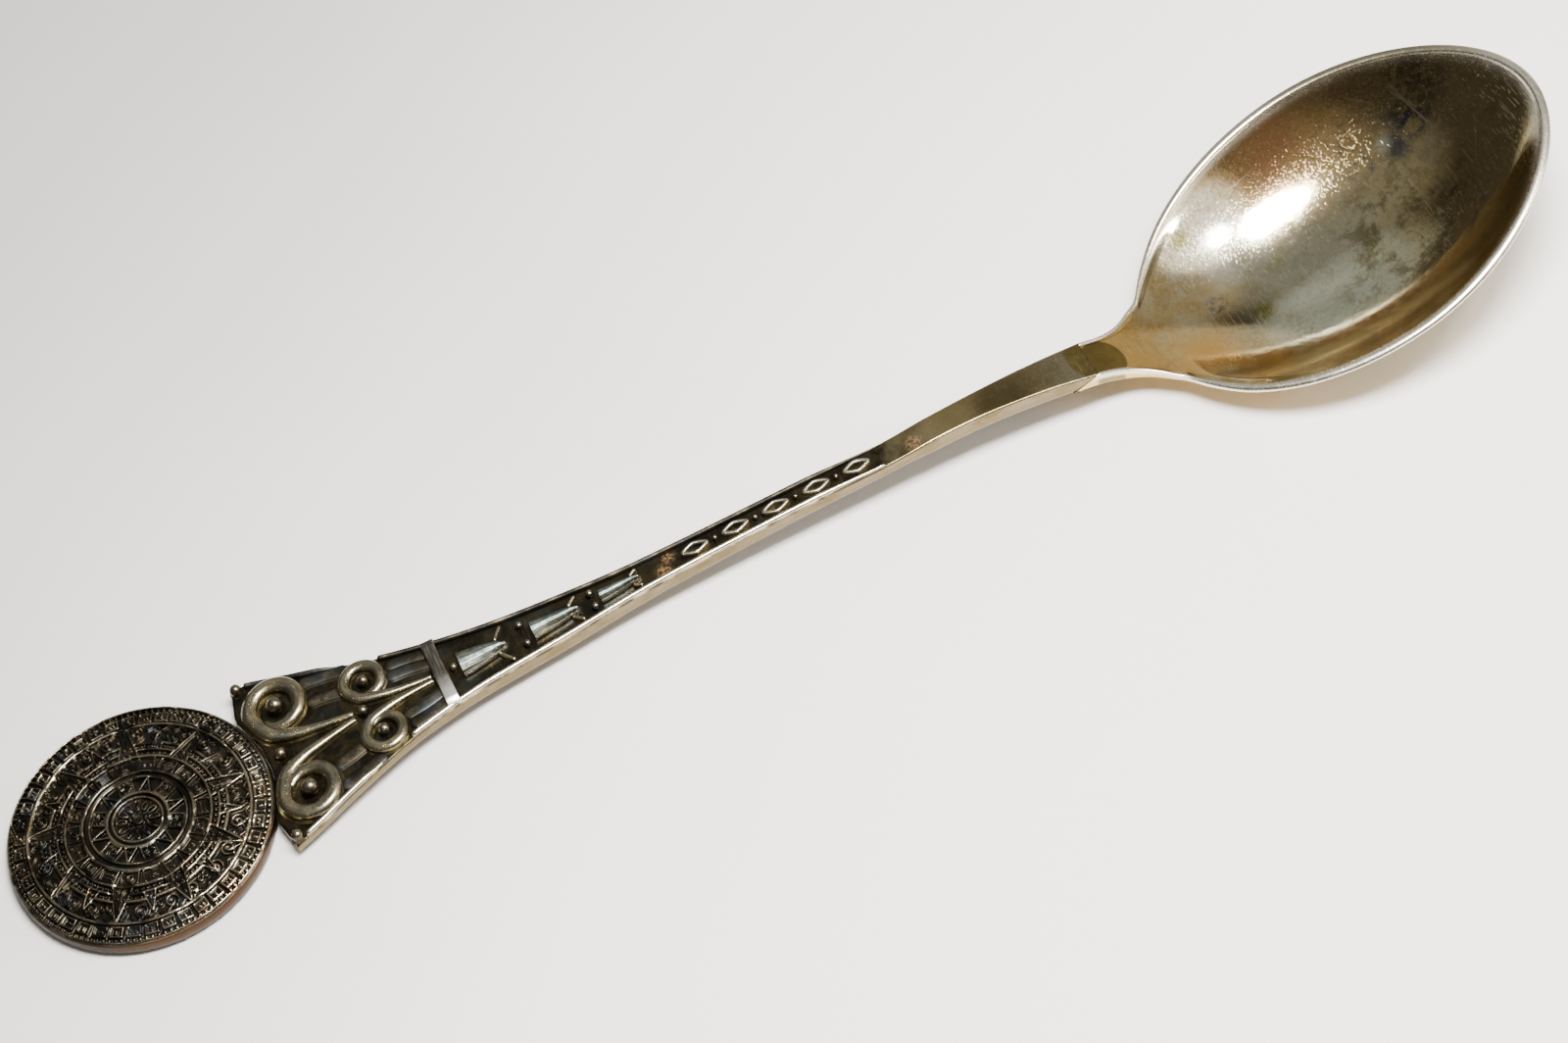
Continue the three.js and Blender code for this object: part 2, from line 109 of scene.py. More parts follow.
# one material and the nodes that are added to it; sizes in millimetres
class Look:
    def __init__(self, name, owner=None):
        self.material = owner or bpy.data.materials.new(name)
        self.material.use_nodes = True
        self.tree = self.material.node_tree
        self.shader = self.tree.nodes.get("Principled BSDF")

    def add(self, kind, settings, sockets, output=0):
        node = self.tree.nodes.new(kind)
        for key, value in settings.items():
            setattr(node, key, value)
        pairs = sockets.items() if isinstance(sockets, dict) else enumerate(sockets)
        for key, value in pairs:
            if isinstance(value, Value):
                self.tree.links.new(value.socket, node.inputs[key])
            elif node.inputs[key].type == "RGBA":
                node.inputs[key].default_value = (*value, 1)
            else:
                node.inputs[key].default_value = value
        return Value(self, node.outputs[output])

    def place(self, stretch=(1, 1, 1), turn=0.0):
        where = self.add("ShaderNodeTexCoord", {}, {}, "Object")
        sockets = {"Vector": where, "Scale": stretch, "Rotation": (0, 0, math.radians(turn))}
        return self.add("ShaderNodeMapping", {}, sockets)

    def noise(self, size, detail=3.0, rough=0.55, distortion=0.0, where=None):  # lumps of this size, 0 to 1
        sockets = {"Vector": where or self.place(), "Scale": 1 / (size * mm), "Detail": detail,
                   "Roughness": rough, "Distortion": distortion}
        return self.add("ShaderNodeTexNoise", {}, sockets)

    def ease(self, value, low, high):  # 0 at low, 1 at high, smooth between
        sockets = {"Value": value, "From Min": low, "From Max": high}
        return self.add("ShaderNodeMapRange", {"interpolation_type": "SMOOTHSTEP"}, sockets)

    def blots(self, low, high, *noise):  # noise cut to soft patches
        return self.ease(self.noise(*noise), low, high)

    def hairs(self, size, turn, low=0.66, high=0.72):  # fine scratches that run one way
        return self.blots(low, high, size, 2, 0.5, 0.3, self.place((1, 0.035, 1), turn))

    def mix(self, share, first, second, way="MIX"):
        settings = {"data_type": "RGBA", "blend_type": way}
        return self.add("ShaderNodeMix", settings, {0: share, 6: first, 7: second}, 2)

    def paint(self, color, *coats):  # lays coats, each a share and a colour, one over the other
        for share, tone in coats:
            color = self.mix(share, color, tone)
        return color

    def attribute(self, name):
        return self.add("ShaderNodeAttribute", {"attribute_name": name}, {}, "Fac")

    def coordinate(self, axis):
        where = self.add("ShaderNodeTexCoord", {}, {}, "Object")
        return self.add("ShaderNodeSeparateXYZ", {}, [where], axis)

    def spot(self, middle, size, wobble=None, stretch=(1, 1, 1), clear=0.25):  # 1 in a soft ball, 0 outside
        place = [m * mm * s for m, s in zip(middle, stretch)]
        sockets = [self.place(stretch), place]
        away = self.add("ShaderNodeVectorMath", {"operation": "DISTANCE"}, sockets, "Value")
        if wobble:
            away = away * wobble
        return self.ease(away, size * mm, size * mm * clear)

    def streak(self, start, end, width):  # 1 along a line between two places, seen from above
        (ax, ay), (bx, by) = [(p[0] * mm, p[1] * mm) for p in (start, end)]
        x = self.coordinate("X") - ax
        y = self.coordinate("Y") - ay
        length = math.hypot(bx - ax, by - ay)
        ux, uy = (bx - ax) / length, (by - ay) / length
        along = x * ux + y * uy
        aside = y * ux - x * uy
        beside = aside.maths("ABSOLUTE", aside)
        ends = self.ease(along, 0, length * 0.2) * self.ease(along, length, length * 0.7)
        return self.ease(beside, width * mm, 0) * ends

    def bump(self, height, depth):
        return self.add("ShaderNodeBump", {}, {"Height": height, "Distance": depth * mm, "Strength": 1.0})

    def finish(self, **sockets):
        for key, value in sockets.items():
            socket = self.shader.inputs[shaderSockets[key]]
            if isinstance(value, Value):
                self.tree.links.new(value.socket, socket)
            else:
                socket.default_value = value
        return self.material


tones = {
    "gold": (0.66, 0.53, 0.33),
    "olive": (0.24, 0.20, 0.085),
    "blue": (0.085, 0.115, 0.15),
    "copper": (0.62, 0.33, 0.19),
    "brown": (0.085, 0.066, 0.036),
    "umber": (0.035, 0.028, 0.018),
}

# oxidised silver: how high it is rubbed from and to, its rubbed and its dark colour, its tarnish, how rough
# where rubbed and where dark, and, where they differ from the rest, the grain's depth, copper and blue.
wornAndPaintedLight = {
    # the medallion's pale colour also paints its highlight on the lower-right side and on one ring
    "medallion": ((0.66, 1.60), (0.42, 0.385, 0.285), (0.012, 0.011, 0.008), "umber", (0.15, 0.30), 0.010, 0.5,
                  0.2),
    "scroll": ((0.42, 1.3), (0.25, 0.235, 0.18), (0.062, 0.051, 0.023), "olive", (0.17, 0.30)),
    "shot": ((0.60, 1.35), (0.34, 0.31, 0.24), (0.045, 0.037, 0.022), "brown", (0.15, 0.28)),
    # painted light and shade: the near rail's silver is painted pale as a lit copy, the far rail's below is a
    # dark copy as painted shade
    "rail": ((0.20, 0.95), (0.70, 0.65, 0.54), (0.11, 0.09, 0.05), "gold", (0.16, 0.36)),
    "shaded_far_rail": ((0.75, 1.5), (0.05, 0.048, 0.038), (0.014, 0.013, 0.010), "umber", (0.42, 0.5)),
    "reed": ((0.80, 1.6), (0.058, 0.056, 0.044), (0.018, 0.017, 0.012), "umber", (0.36, 0.46)),
    "wire": ((0.40, 1.2), (0.36, 0.345, 0.295), (0.055, 0.047, 0.03), "olive", (0.2, 0.4)),
}
# the medallion's side wall: its dark colour, the colour of its painted highlight, and how much rougher it is
discWall = {"dark": (0.010, 0.007, 0.005), "rubbedAndLit": (0.060, 0.033, 0.016), "rougher": 0.2}


def wornSilverWithPaintedLight(name, reach, pale, dark, tarnish, rough, grain=0.012, copper=0.0, blue=0.25):
    look = Look(name + "_silver")
    high = look.attribute("high")
    patch = look.noise(1.7, 4, 0.6)
    fine = look.noise(0.16, 4, 0.65)
    rubbedAndLit = look.ease(high + (patch - 0.5) * 0.5 + (fine - 0.5) * 0.5, *reach)
    base = look.paint(dark, (look.ease(patch, 0.4, 0.66), tones[tarnish]),
                      (look.blots(0.52, 0.72, 2.9, 3) * blue, tones["blue"]))
    top = look.paint(pale, (look.blots(0.42, 0.7, 1.1, 3) * 0.55, tones["gold"]))
    hairs = look.hairs(0.07, 35)
    roughness = rubbedAndLit * (rough[0] - rough[1]) + rough[1] + (fine - 0.5) * 0.16 + hairs * 0.1
    if copper:
        top = look.mix(look.blots(0.5, 0.66, 2.3, 3) * copper, top, tones["copper"])
    color = look.mix(rubbedAndLit, base, top)
    if copper:
        # the medallion's side wall: dark, with a painted highlight where its high value is raised
        side = look.attribute("face")
        wall = look.mix(look.ease(high, 0.5, 1.2), discWall["dark"], discWall["rubbedAndLit"])
        color = look.mix(side, color, wall)
        roughness = roughness + side * discWall["rougher"]
    pits = look.blots(0.6, 0.75, 0.11, 3, 0.7)
    normal = look.bump(look.noise(0.3, 4, 0.6) * 0.7 - pits * 0.5 - hairs * 0.3, grain)
    return look.finish(color=color, metallic=rubbedAndLit * 0.05 + 0.93, roughness=roughness.clipped(),
                       normal=normal)


# the dull patch where bowl and handle were soldered: middle and size on either side, in millimetres
seamPatch = {
    "bowl": ((25.75, -0.35, 4.35), 2.05, None, (1.15, 1, 0.2), 0.88),
    "bowlTones": ((0.125, 0.10, 0.035), (0.19, 0.145, 0.045)),
    "handle": ((25.75, 0.35, 4.35), 2.75, None, (1.0, 0.9, 0.2), 0.9),
    "handleTones": ((0.17, 0.135, 0.045), (0.24, 0.19, 0.065)),
    "share": 0.92,
}
# stains in the bowl: place, size, colour and strength
bowlSpots = [
    ((55.0, 5.3, 7.4), 2.3, (0.055, 0.065, 0.10), 0.9),
    ((53.4, 4.8, 6.0), 1.8, (0.06, 0.075, 0.11), 0.8),
    ((50.7, 6.9, 5.3), 1.5, (0.06, 0.08, 0.14), 0.85),
    ((50.7, 5.2, 4.5), 1.5, (0.08, 0.11, 0.16), 0.7),
    ((56.6, 7.2, 9.2), 3.8, (0.06, 0.055, 0.035), 0.7),
    ((36.5, 1.7, 0.8), 1.5, (0.10, 0.11, 0.095), 0.85),
    ((39.2, -0.1, 0.5), 1.4, (0.36, 0.30, 0.05), 0.9),
    ((36.2, 7.6, 3.0), 1.4, (0.42, 0.38, 0.08), 0.8),
    ((41.9, 3.0, 1.0), 1.0, (0.44, 0.42, 0.12), 0.6),
    ((47.9, -1.2, 2.5), 2.2, (0.20, 0.165, 0.06), 0.75),
    ((43.0, -9.0, 3.6), 2.4, (0.22, 0.17, 0.05), 0.5),
    ((52.7, 5.6, 5.8), 1.2, (0.78, 0.76, 0.64), 0.7),
]
# the longest scratches: ends, width and how pale they are
bowlStreaks = [
    ((54.5, 8.6), (56.1, 3.2), 0.13, 0.8),
    ((54.4, 7.9), (55.8, 5.2), 0.10, 0.7),
    ((49.8, 8.1), (52.1, 7.2), 0.10, 0.7),
    ((51.2, 9.9), (53.6, 7.6), 0.09, 0.5),
    ((40.5, 9.0), (44.0, 9.6), 0.09, 0.6),
    ((39.3, 3.6), (42.2, 0.4), 0.10, 0.5),
    ((56.5, -1.5), (58.6, 2.4), 0.10, 0.4),
]


def bowlSilver():
    look = Look("bowl_silver")
    x = look.coordinate("X")
    y = look.coordinate("Y")
    broad = look.noise(8, 4, 0.6, 0.6)
    cloud = look.noise(2.6, 5, 0.66, 0.5)
    fine = look.noise(0.45, 4, 0.65)
    wobble = look.noise(2.2, 4, 0.65) * 1.3 + 0.35
    # partly tarnish, partly painted reflection: the far wall is painted browner
    farWall = look.ease(y + (cloud - 0.5) * 0.006, 3.5 * mm, 9.0 * mm)
    tipWall = look.ease(x + (cloud - 0.5) * 0.010, 47 * mm, 56 * mm)
    neck = look.ease(x + (cloud - 0.5) * 0.003, 33 * mm, 28.5 * mm)
    # partly tarnish, partly painted reflection: the near wall is painted more golden
    nearWall = look.ease(y + (cloud - 0.5) * 0.004, -4.5 * mm, -8.5 * mm) * look.ease(x, 53 * mm, 43 * mm)
    # painted shade: the rim is painted darker towards the far tip
    rimShadeAtFarTip = look.ease(y, 2 * mm, 8 * mm) * look.ease(x, 43 * mm, 51 * mm)
    cleanMiddle = look.spot((44.0, -2.5, 1.5), 10.5, wobble)
    red = look.spot((45.0, 10.2, 5.6), 5.5, wobble) * look.ease(cloud, 0.35, 0.6)
    # painted reflection: a pale patch on the far left wall, where the bright room is mirrored
    pale = look.spot((38.2, 7.0, 3.0), 5.6, wobble)
    flecks = look.blots(0.50, 0.62, 0.5, 6, 0.8)
    smear = look.blots(0.47, 0.60, 2.6, 7, 0.78, 0.35) * look.spot((50.5, -1.5, 4.0), 9.5, wobble)
    freckles = look.blots(0.56, 0.68, 0.9, 4, 0.7, 0.8)
    mottle = look.blots(0.5, 0.72, 1.5, 6, 0.76, 0.4)
    # painted reflection: warm ochre patches by the neck and on the near wall
    ochreReflection = look.spot((33.4, -2.3, 2.0), 3.8, wobble) + look.spot((36.6, -5.9, 2.5), 3.0, wobble)
    color = look.mix(look.ease(broad, 0.36, 0.64), (0.62, 0.49, 0.25), (0.56, 0.41, 0.18))
    color = look.paint(
        color,
        (look.ease(cloud, 0.36, 0.66) * 0.75, (0.68, 0.62, 0.42)),
        (cleanMiddle * 0.85, (0.60, 0.62, 0.50)),
        # browner far wall, partly tarnish and partly painted reflection
        (farWall * 0.55, (0.50, 0.33, 0.14)),
        (red * 0.6, (0.50, 0.20, 0.10)),
        (tipWall * 0.6, (0.56, 0.47, 0.27)),
        # painted reflection of the bright room, in pale silver
        (pale * 0.85, (0.88, 0.87, 0.78)),
        (flecks * (farWall * 0.35 + 0.22), (0.22, 0.165, 0.065)),
        (smear * 0.75, (0.17, 0.125, 0.045)),
        (neck * 0.88, (0.66, 0.42, 0.13)),
        # more golden near wall, partly tarnish and partly painted reflection
        (nearWall * 0.6, (0.54, 0.365, 0.12)),
        (freckles * 0.4, (0.42, 0.36, 0.10)),
        (mottle * 0.45, (0.30, 0.235, 0.10)),
        # painted reflection in ochre
        (ochreReflection.clipped() * 0.75, (0.76, 0.47, 0.13)),
    )
    for place, size, tone, amount in bowlSpots:
        here = look.spot(place, size, wobble) * look.ease(fine * 0.45 + cloud * 0.65, 0.45, 0.62)
        color = look.mix(here * amount, color, tone)
    for start, end, width, amount in bowlStreaks:
        color = look.mix(look.streak(start, end, width) * amount, color, (0.80, 0.72, 0.52))
    hairs = look.hairs(0.10, 25, 0.62, 0.69) + look.hairs(0.13, -38, 0.64, 0.70)
    hairs = (hairs + look.hairs(0.16, 68, 0.65, 0.71)).clipped()
    edge = look.attribute("high")
    color = look.paint(
        color,
        (hairs * 0.30, (0.80, 0.74, 0.58)),
        (look.spot(*seamPatch["bowl"]) * seamPatch["share"],
         look.mix(look.ease(cloud, 0.4, 0.6), *seamPatch["bowlTones"])),
        # the rim: pale as worn silver and as a painted reflection of the bright room, darker towards the far
        # tip as painted shade
        (edge * 0.85, look.mix(rimShadeAtFarTip, (0.84, 0.80, 0.70), (0.36, 0.33, 0.25))),
    )
    roughness = 0.055 + cloud * 0.08 + mottle * 0.05 + flecks * 0.04 + hairs * 0.05 + edge * 0.16
    normal = look.bump(fine * 0.3 + cloud * 1.25 + broad * 2.6 - hairs * 0.16, 0.011)
    return look.finish(color=color, metallic=1.0, roughness=roughness.clipped(), normal=normal)


# on the handle: where its bare neck begins, counted from the medallion, and places and sizes of its stains
handleStains = {
    "bare": (49, 53.4), "pale": (19.5, 23), "smear": ((17.4, -1.0, 5.0), 3.4),
    "gold": ((13.4, 0.2, 4.5), 2.6),
    "rubs": [((-10.3, -0.5, 3.0), 0.95), ((10.2, -0.4, 4.4), 0.9), ((-9.6, 0.5, 3.1), 0.75)],
}


# the decorated face is dark, the walls and the bare neck are a tarnished pale gold
def handleSilver():
    look = Look("handle_silver")
    x = look.coordinate("X")
    face = look.attribute("face")
    patch = look.noise(1.9, 4, 0.62, 0.3)
    fine = look.noise(0.2, 4, 0.65)
    wobble = patch * 0.8 + 0.6
    dark = look.mix(look.ease(patch, 0.4, 0.62), (0.018, 0.016, 0.011), (0.050, 0.038, 0.019))
    dark = look.paint(dark, (look.blots(0.52, 0.7, 2.6, 3) * 0.5, (0.050, 0.060, 0.052)),
                      (look.ease(fine, 0.58, 0.74) * 0.35, (0.13, 0.105, 0.055)))
    plain = look.mix(look.blots(0.40, 0.64, 4.5, 4), (0.31, 0.255, 0.14), (0.20, 0.155, 0.07))
    stains = look.blots(0.55, 0.72, 0.8, 5, 0.7) * look.ease(x, 19 * mm, 9 * mm)
    plain = look.mix(stains * 0.7, plain, (0.20, 0.16, 0.08))
    start, full = [discEdge + place * mm for place in handleStains["bare"]]
    bare = look.ease(x + (patch - 0.5) * 0.006, start, full)
    top = look.mix(bare, dark, plain)
    for place, size in handleStains["rubs"]:
        rub = look.spot(place, size, wobble) * look.ease(fine, 0.44, 0.60)
        top = look.mix(rub * 0.75, top, (0.80, 0.46, 0.23))
    pale = look.ease(x + (patch - 0.5) * 0.004, *[place * mm for place in handleStains["pale"]])
    top = look.paint(
        top,
        (look.spot(*handleStains["smear"], wobble) * bare * 0.75, (0.085, 0.062, 0.026)),
        (look.spot(*handleStains["gold"], wobble) * bare * 0.5, (0.24, 0.175, 0.065)),
        (pale * 0.7, (0.30, 0.285, 0.195)),
        (look.spot(*seamPatch["handle"]) * seamPatch["share"],
         look.mix(look.ease(patch, 0.4, 0.6), *seamPatch["handleTones"])),
    )
    along = look.noise(0.7, 5, 0.7, 0.4, look.place((0.35, 1, 1)))
    low = look.ease(look.attribute("under") + (along - 0.5) * 0.7, 0.25, 0.8)
    wall = look.mix(look.blots(0.42, 0.66, 3.4, 4), (0.21, 0.168, 0.098), (0.145, 0.11, 0.053))
    wall = look.paint(wall, (look.ease(along, 0.48, 0.64) * 0.75, (0.12, 0.09, 0.035)),
                      (low * 0.6, (0.15, 0.105, 0.045)))
    hairs = look.hairs(0.08, 70)
    color = look.paint(wall, (face, top), (hairs * 0.07, (0.5, 0.46, 0.34)))
    roughness = 0.17 + fine * 0.16 + hairs * 0.08 + (1 - bare) * face * 0.05
    normal = look.bump(look.noise(0.5, 4, 0.62) * 0.8 + fine * 0.25 - hairs * 0.2, 0.014)
    metallic = 0.97 - face * (1 - bare) * 0.03
    return look.finish(color=color, metallic=metallic, roughness=roughness.clipped(), normal=normal)


# flat strip, drawn across with a file, with a painted highlight that makes its near end bright
def brushedSilverWithHighlight():
    look = Look("brushed_silver_with_highlight")
    lines = look.noise(0.09, 3, 0.6, 0.0, look.place((1, 0.06, 1)))
    patch = look.noise(1.2, 3)
    # painted highlight: the strip is painted bright towards its near end
    end = look.ease(look.coordinate("Y") + (patch - 0.5) * 0.001, 0.1 * mm, -2.5 * mm)
    color = look.mix(end, (0.075, 0.071, 0.058), (0.84, 0.82, 0.76))
    color = look.paint(color, (look.ease(lines, 0.45, 0.62) * 0.2, (0.50, 0.47, 0.40)),
                       (look.ease(patch, 0.55, 0.7) * 0.35, (0.20, 0.18, 0.12)))
    return look.finish(color=color, metallic=1.0, roughness=0.26 + lines * 0.22,
                       normal=look.bump(lines, 0.014))


# a bluish broad side, a dark valley and a bright rim
def leafSilver():
    look = Look("leaf_silver")
    patch = look.noise(0.9, 4, 0.65)
    fine = look.noise(0.15, 4, 0.7)
    rim = look.ease(look.attribute("high") + (fine - 0.5) * 0.4, 0.55, 0.95)
    side = look.mix(look.ease(patch, 0.40, 0.62), (0.22, 0.26, 0.24), (0.095, 0.118, 0.11))
    side = look.mix(look.ease(fine, 0.46, 0.66) * 0.65, side, (0.055, 0.055, 0.040))
    blue = look.attribute("face") * look.ease(fine * 0.3 + patch * 0.7, 0.28, 0.42)
    color = look.paint((0.040, 0.034, 0.020), (blue, side),
                       (look.blots(0.56, 0.68, 1.3, 3) * 0.5, (0.22, 0.17, 0.06)),
                       (rim, (0.66, 0.64, 0.56)))
    roughness = 0.36 - rim * 0.16 + (fine - 0.5) * 0.2
    normal = look.bump(fine * 0.8 + patch * 0.4, 0.035)
    return look.finish(color=color, metallic=0.97, roughness=roughness.clipped(), normal=normal)


def solderSilver():
    look = Look("solder_silver")
    patch = look.noise(0.5, 3)
    color = look.mix(look.ease(patch, 0.4, 0.6), (0.06, 0.047, 0.02), (0.035, 0.028, 0.013))
    return look.finish(color=color, metallic=0.9, roughness=0.45 + patch * 0.1, normal=look.bump(patch, 0.03))


looks = {name: wornSilverWithPaintedLight(name, *finish) for name, finish in wornAndPaintedLight.items()}
looks.update(leaf=leafSilver(), bowl=bowlSilver(), handle=handleSilver(), band=brushedSilverWithHighlight(),
             solder=solderSilver())
print("materials made")


# makes one closed mesh, puts it in the model and lets it stand for its solid; layers are values at its points
def addPiece(name, points, faces, look, slot, replaced, sharp=35, **layers):
    mesh = bpy.data.meshes.new(name)
    mesh.from_pydata([tuple(p) for p in points], [], [tuple(f) for f in faces])
    for label, values in layers.items():
        layer = mesh.attributes.new(label, "FLOAT", "POINT")
        layer.data.foreach_set("value", np.asarray(values, np.float32))
    shape = bmesh.new()
    shape.from_mesh(mesh)
    bmesh.ops.remove_doubles(shape, verts=shape.verts, dist=1e-7)
    bmesh.ops.recalc_face_normals(shape, faces=shape.faces)
    shape.to_mesh(mesh)
    shape.free()
    mesh.shade_smooth()
    mesh.set_sharp_from_angle(angle=math.radians(sharp))
    mesh.materials.append(looks[look])
    piece = bpy.data.objects.new(name, mesh)
    scene.collection.objects.link(piece)
    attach(piece, "root")
    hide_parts(replaced)


# quads of a grid of points; wrap joins the last column to the first
def gridFaces(rows, columns, wrap=False, first=0):
    faces = []
    for i in range(rows - 1):
        for j in range(columns if wrap else columns - 1):
            k = (j + 1) % columns
            a, b = first + i * columns, first + (i + 1) * columns
            faces.append((a + j, a + k, b + k, b + j))
    return faces


# a tube of rings, with a flat cap on each end, or closed on itself
def tubeFaces(rings, around, closed=False):
    last = (rings - 1) * around
    ends = [tuple(range(around)), tuple(range(last, last + around))]
    if closed:
        ends = [(last + k, last + (k + 1) % around, (k + 1) % around, k) for k in range(around)]
    return gridFaces(rings, around, True) + ends


def ease(t):
    t = np.clip(t, 0, 1)
    return t * t * (3 - 2 * t)


def softMin(a, b, k):
    h = np.clip(0.5 + 0.5 * (b - a) / k, 0, 1)
    return b * (1 - h) + a * h - k * h * (1 - h)


# distance along a line of places, from its start to each
def lengthAlong(places):
    return np.concatenate([[0], np.cumsum(np.hypot(*np.diff(places, axis=0).T))])


# the handle's lines, taken from its solid
handleTree = BVHTree.FromObject(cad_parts["handle"], bpy.context.evaluated_depsgraph_get())


def hit(tree, start, way):
    return tree.ray_cast(Vector(start), Vector(way))[0]


# a running average that keeps the ends
def smoothed(values, reach=5):
    values = np.array(values)
    kernel = np.hanning(2 * reach + 3)[1:-1]
    before, after = 2 * values[0] - values[reach:0:-1], 2 * values[-1] - values[-2:-reach - 2:-1]
    return np.convolve(np.concatenate([before, values, after]), kernel / kernel.sum(), "valid")


lineX = np.linspace(discEdge + 0.15 * mm, lapX - 0.6 * mm, 280)
lineTop = [hit(handleTree, (x, 0, 0.02), (0, 0, -1)).z for x in lineX]
lineUnder = [hit(handleTree, (x, 0, -0.01), (0, 0, 1)).z for x in lineX]
lineHalf = [hit(handleTree, (x, 0.02, (top + under) / 2), (0, -1, 0)).y
            for x, top, under in zip(lineX, lineTop, lineUnder)]


# the line's value at any x; past its ends it runs on straight
def extended(line, until=1.0):
    xs = lineX[lineX < until]
    line = smoothed(line)[:len(xs)]
    left = (line[4] - line[0]) / (xs[4] - xs[0])
    right = (line[-1] - line[-9]) / (xs[-1] - xs[-9])

    def value(x):
        x = np.asarray(x, float)
        return np.interp(x, xs, line) + np.minimum(x - xs[0], 0) * left + np.maximum(x - xs[-1], 0) * right
    return value


topZ = extended(lineTop)
underZ = extended(lineUnder, lapX - 3.0 * mm)
plainHalf = extended(lineHalf)
spread = {"by": 0.2, "until": 5, "over": 6}  # how far the handle's broad end spreads


def halfWidth(x):
    past = (discEdge + spread["until"] * mm - np.asarray(x, float)) / (spread["over"] * mm)
    return plainHalf(x) + spread["by"] * mm * ease(past)


# floor: its colours far and near, painted darker far off as painted shade and brighter near as painted light,
# in metres where one gives way to the other, and the colour of faint marks
stage = {"far": (0.48, 0.485, 0.49), "near": (0.97, 0.945, 0.93), "change": (-0.10, 0.035),
         "marks": (0.72, 0.70, 0.70), "size": 3.0}


def buildStage():
    look = Look("table")
    marks = look.blots(0.74, 0.78, 0.8, 2, 0.5, 0.5, look.place((1, 0.02, 1), 62))
    # painted light and shade: the floor is painted darker far off and brighter near
    across = look.coordinate("X") * 0.6 - look.coordinate("Y") * 0.8
    near = look.ease(across + (look.noise(60, 3) - 0.5) * 0.03, *stage["change"])
    color = look.paint(stage["far"], (near, stage["near"]), (marks * 0.25, stage["marks"]))
    look.finish(color=color, roughness=0.55, normal=look.bump(look.noise(1.5, 3), 0.02))
    half = stage["size"] / 2
    mesh = bpy.data.meshes.new("table")
    corners = [(-half, -half, 0), (half, -half, 0), (half, half, 0), (-half, half, 0)]
    mesh.from_pydata(corners, [], [(0, 1, 2, 3)])
    mesh.materials.append(look.material)
    table = bpy.data.objects.new("table", mesh)
    scene.collection.objects.link(table)


# name, azimuth and height in degrees and metres from a place in the bowl, size, brightness, colour
lamps = [
    ("ceiling", (-104, 76), 0.26, (0.115, 0.075), 86.0, (1.0, 0.98, 0.955)),
    ("reading", (-45, 65), 0.34, (0.050, 0.040), 70.0, (1.0, 0.95, 0.87)),
    ("low", (-32, 30), 0.40, (0.10, 0.08), 15.0, (1.0, 0.94, 0.86)),
]
lampAim = Vector((42 * mm, 6 * mm, 2 * mm))


def direction(azimuth, height):
    a, h = math.radians(azimuth), math.radians(height)
    return Vector((math.cos(h) * math.cos(a), math.cos(h) * math.sin(a), math.sin(h)))


def buildLamps():
    for name, turns, distance, size, brightness, colour in lamps:
        data = bpy.data.lights.new(name, "AREA")
        data.shape = "ELLIPSE"
        data.size, data.size_y = size
        data.energy = brightness * math.pi * size[0] * size[1]
        data.color = colour
        lamp = bpy.data.objects.new(name, data)
        way = direction(*turns)
        lamp.location = lampAim + way * distance
        lamp.rotation_euler = way.to_track_quat("Z", "Y").to_euler()
        scene.collection.objects.link(lamp)


# what the silver mirrors of the room: where it lies, its clear middle and faded edge in degrees, colour
roomParts = [
    ((-45, 55), (17, 24), (1.25, 1.16, 0.98)),  # bright wall over the viewer's right shoulder
    ((52, 20), (17, 25), (0.62, 0.56, 0.46)),  # lit shelf
    ((92, 36), (13, 26), (0.36, 0.38, 0.36)),  # pale wall behind
    ((8, 48), (14, 30), (0.36, 0.34, 0.30)),
    ((150, 78), (22, 48), (0.24, 0.24, 0.225)),  # ceiling
    ((-100, 62), (14, 40), (0.26, 0.22, 0.17)),
    ((-20, 6), (24, 44), (0.42, 0.38, 0.33)),
]
roomDark = (0.070, 0.062, 0.052)


# a dim room with a few brighter parts
def buildWorld():
    world = bpy.data.worlds.new("room")
    scene.world = world
    look = Look("room", world)
    where = look.add("ShaderNodeTexCoord", {}, {}, "Generated")
    color = roomDark
    for turns, (clear, faded), tone in roomParts:
        sockets = [where, list(direction(*turns))]
        facing = look.add("ShaderNodeVectorMath", {"operation": "DOT_PRODUCT"}, sockets, "Value")
        part = look.ease(facing, math.cos(math.radians(faded)), math.cos(math.radians(clear)))
        color = look.mix(part, color, tone, "ADD")
    look.tree.links.new(color.socket, look.tree.nodes["Background"].inputs["Color"])


buildStage()
buildLamps()
buildWorld()
print("stage and lamps set")

# millimetres: roundings of its edges, the cut round the medallion, how far back the end lies and how it is
# hollowed (from, over, depth), the lap's slant
handleSizes = {"edge": 0.16, "underEdge": 0.3, "cut": 10.1, "tipBack": 0.4, "hollow": (7.45, 3, 0.7),
               "slant": 1.6, "stations": 300}


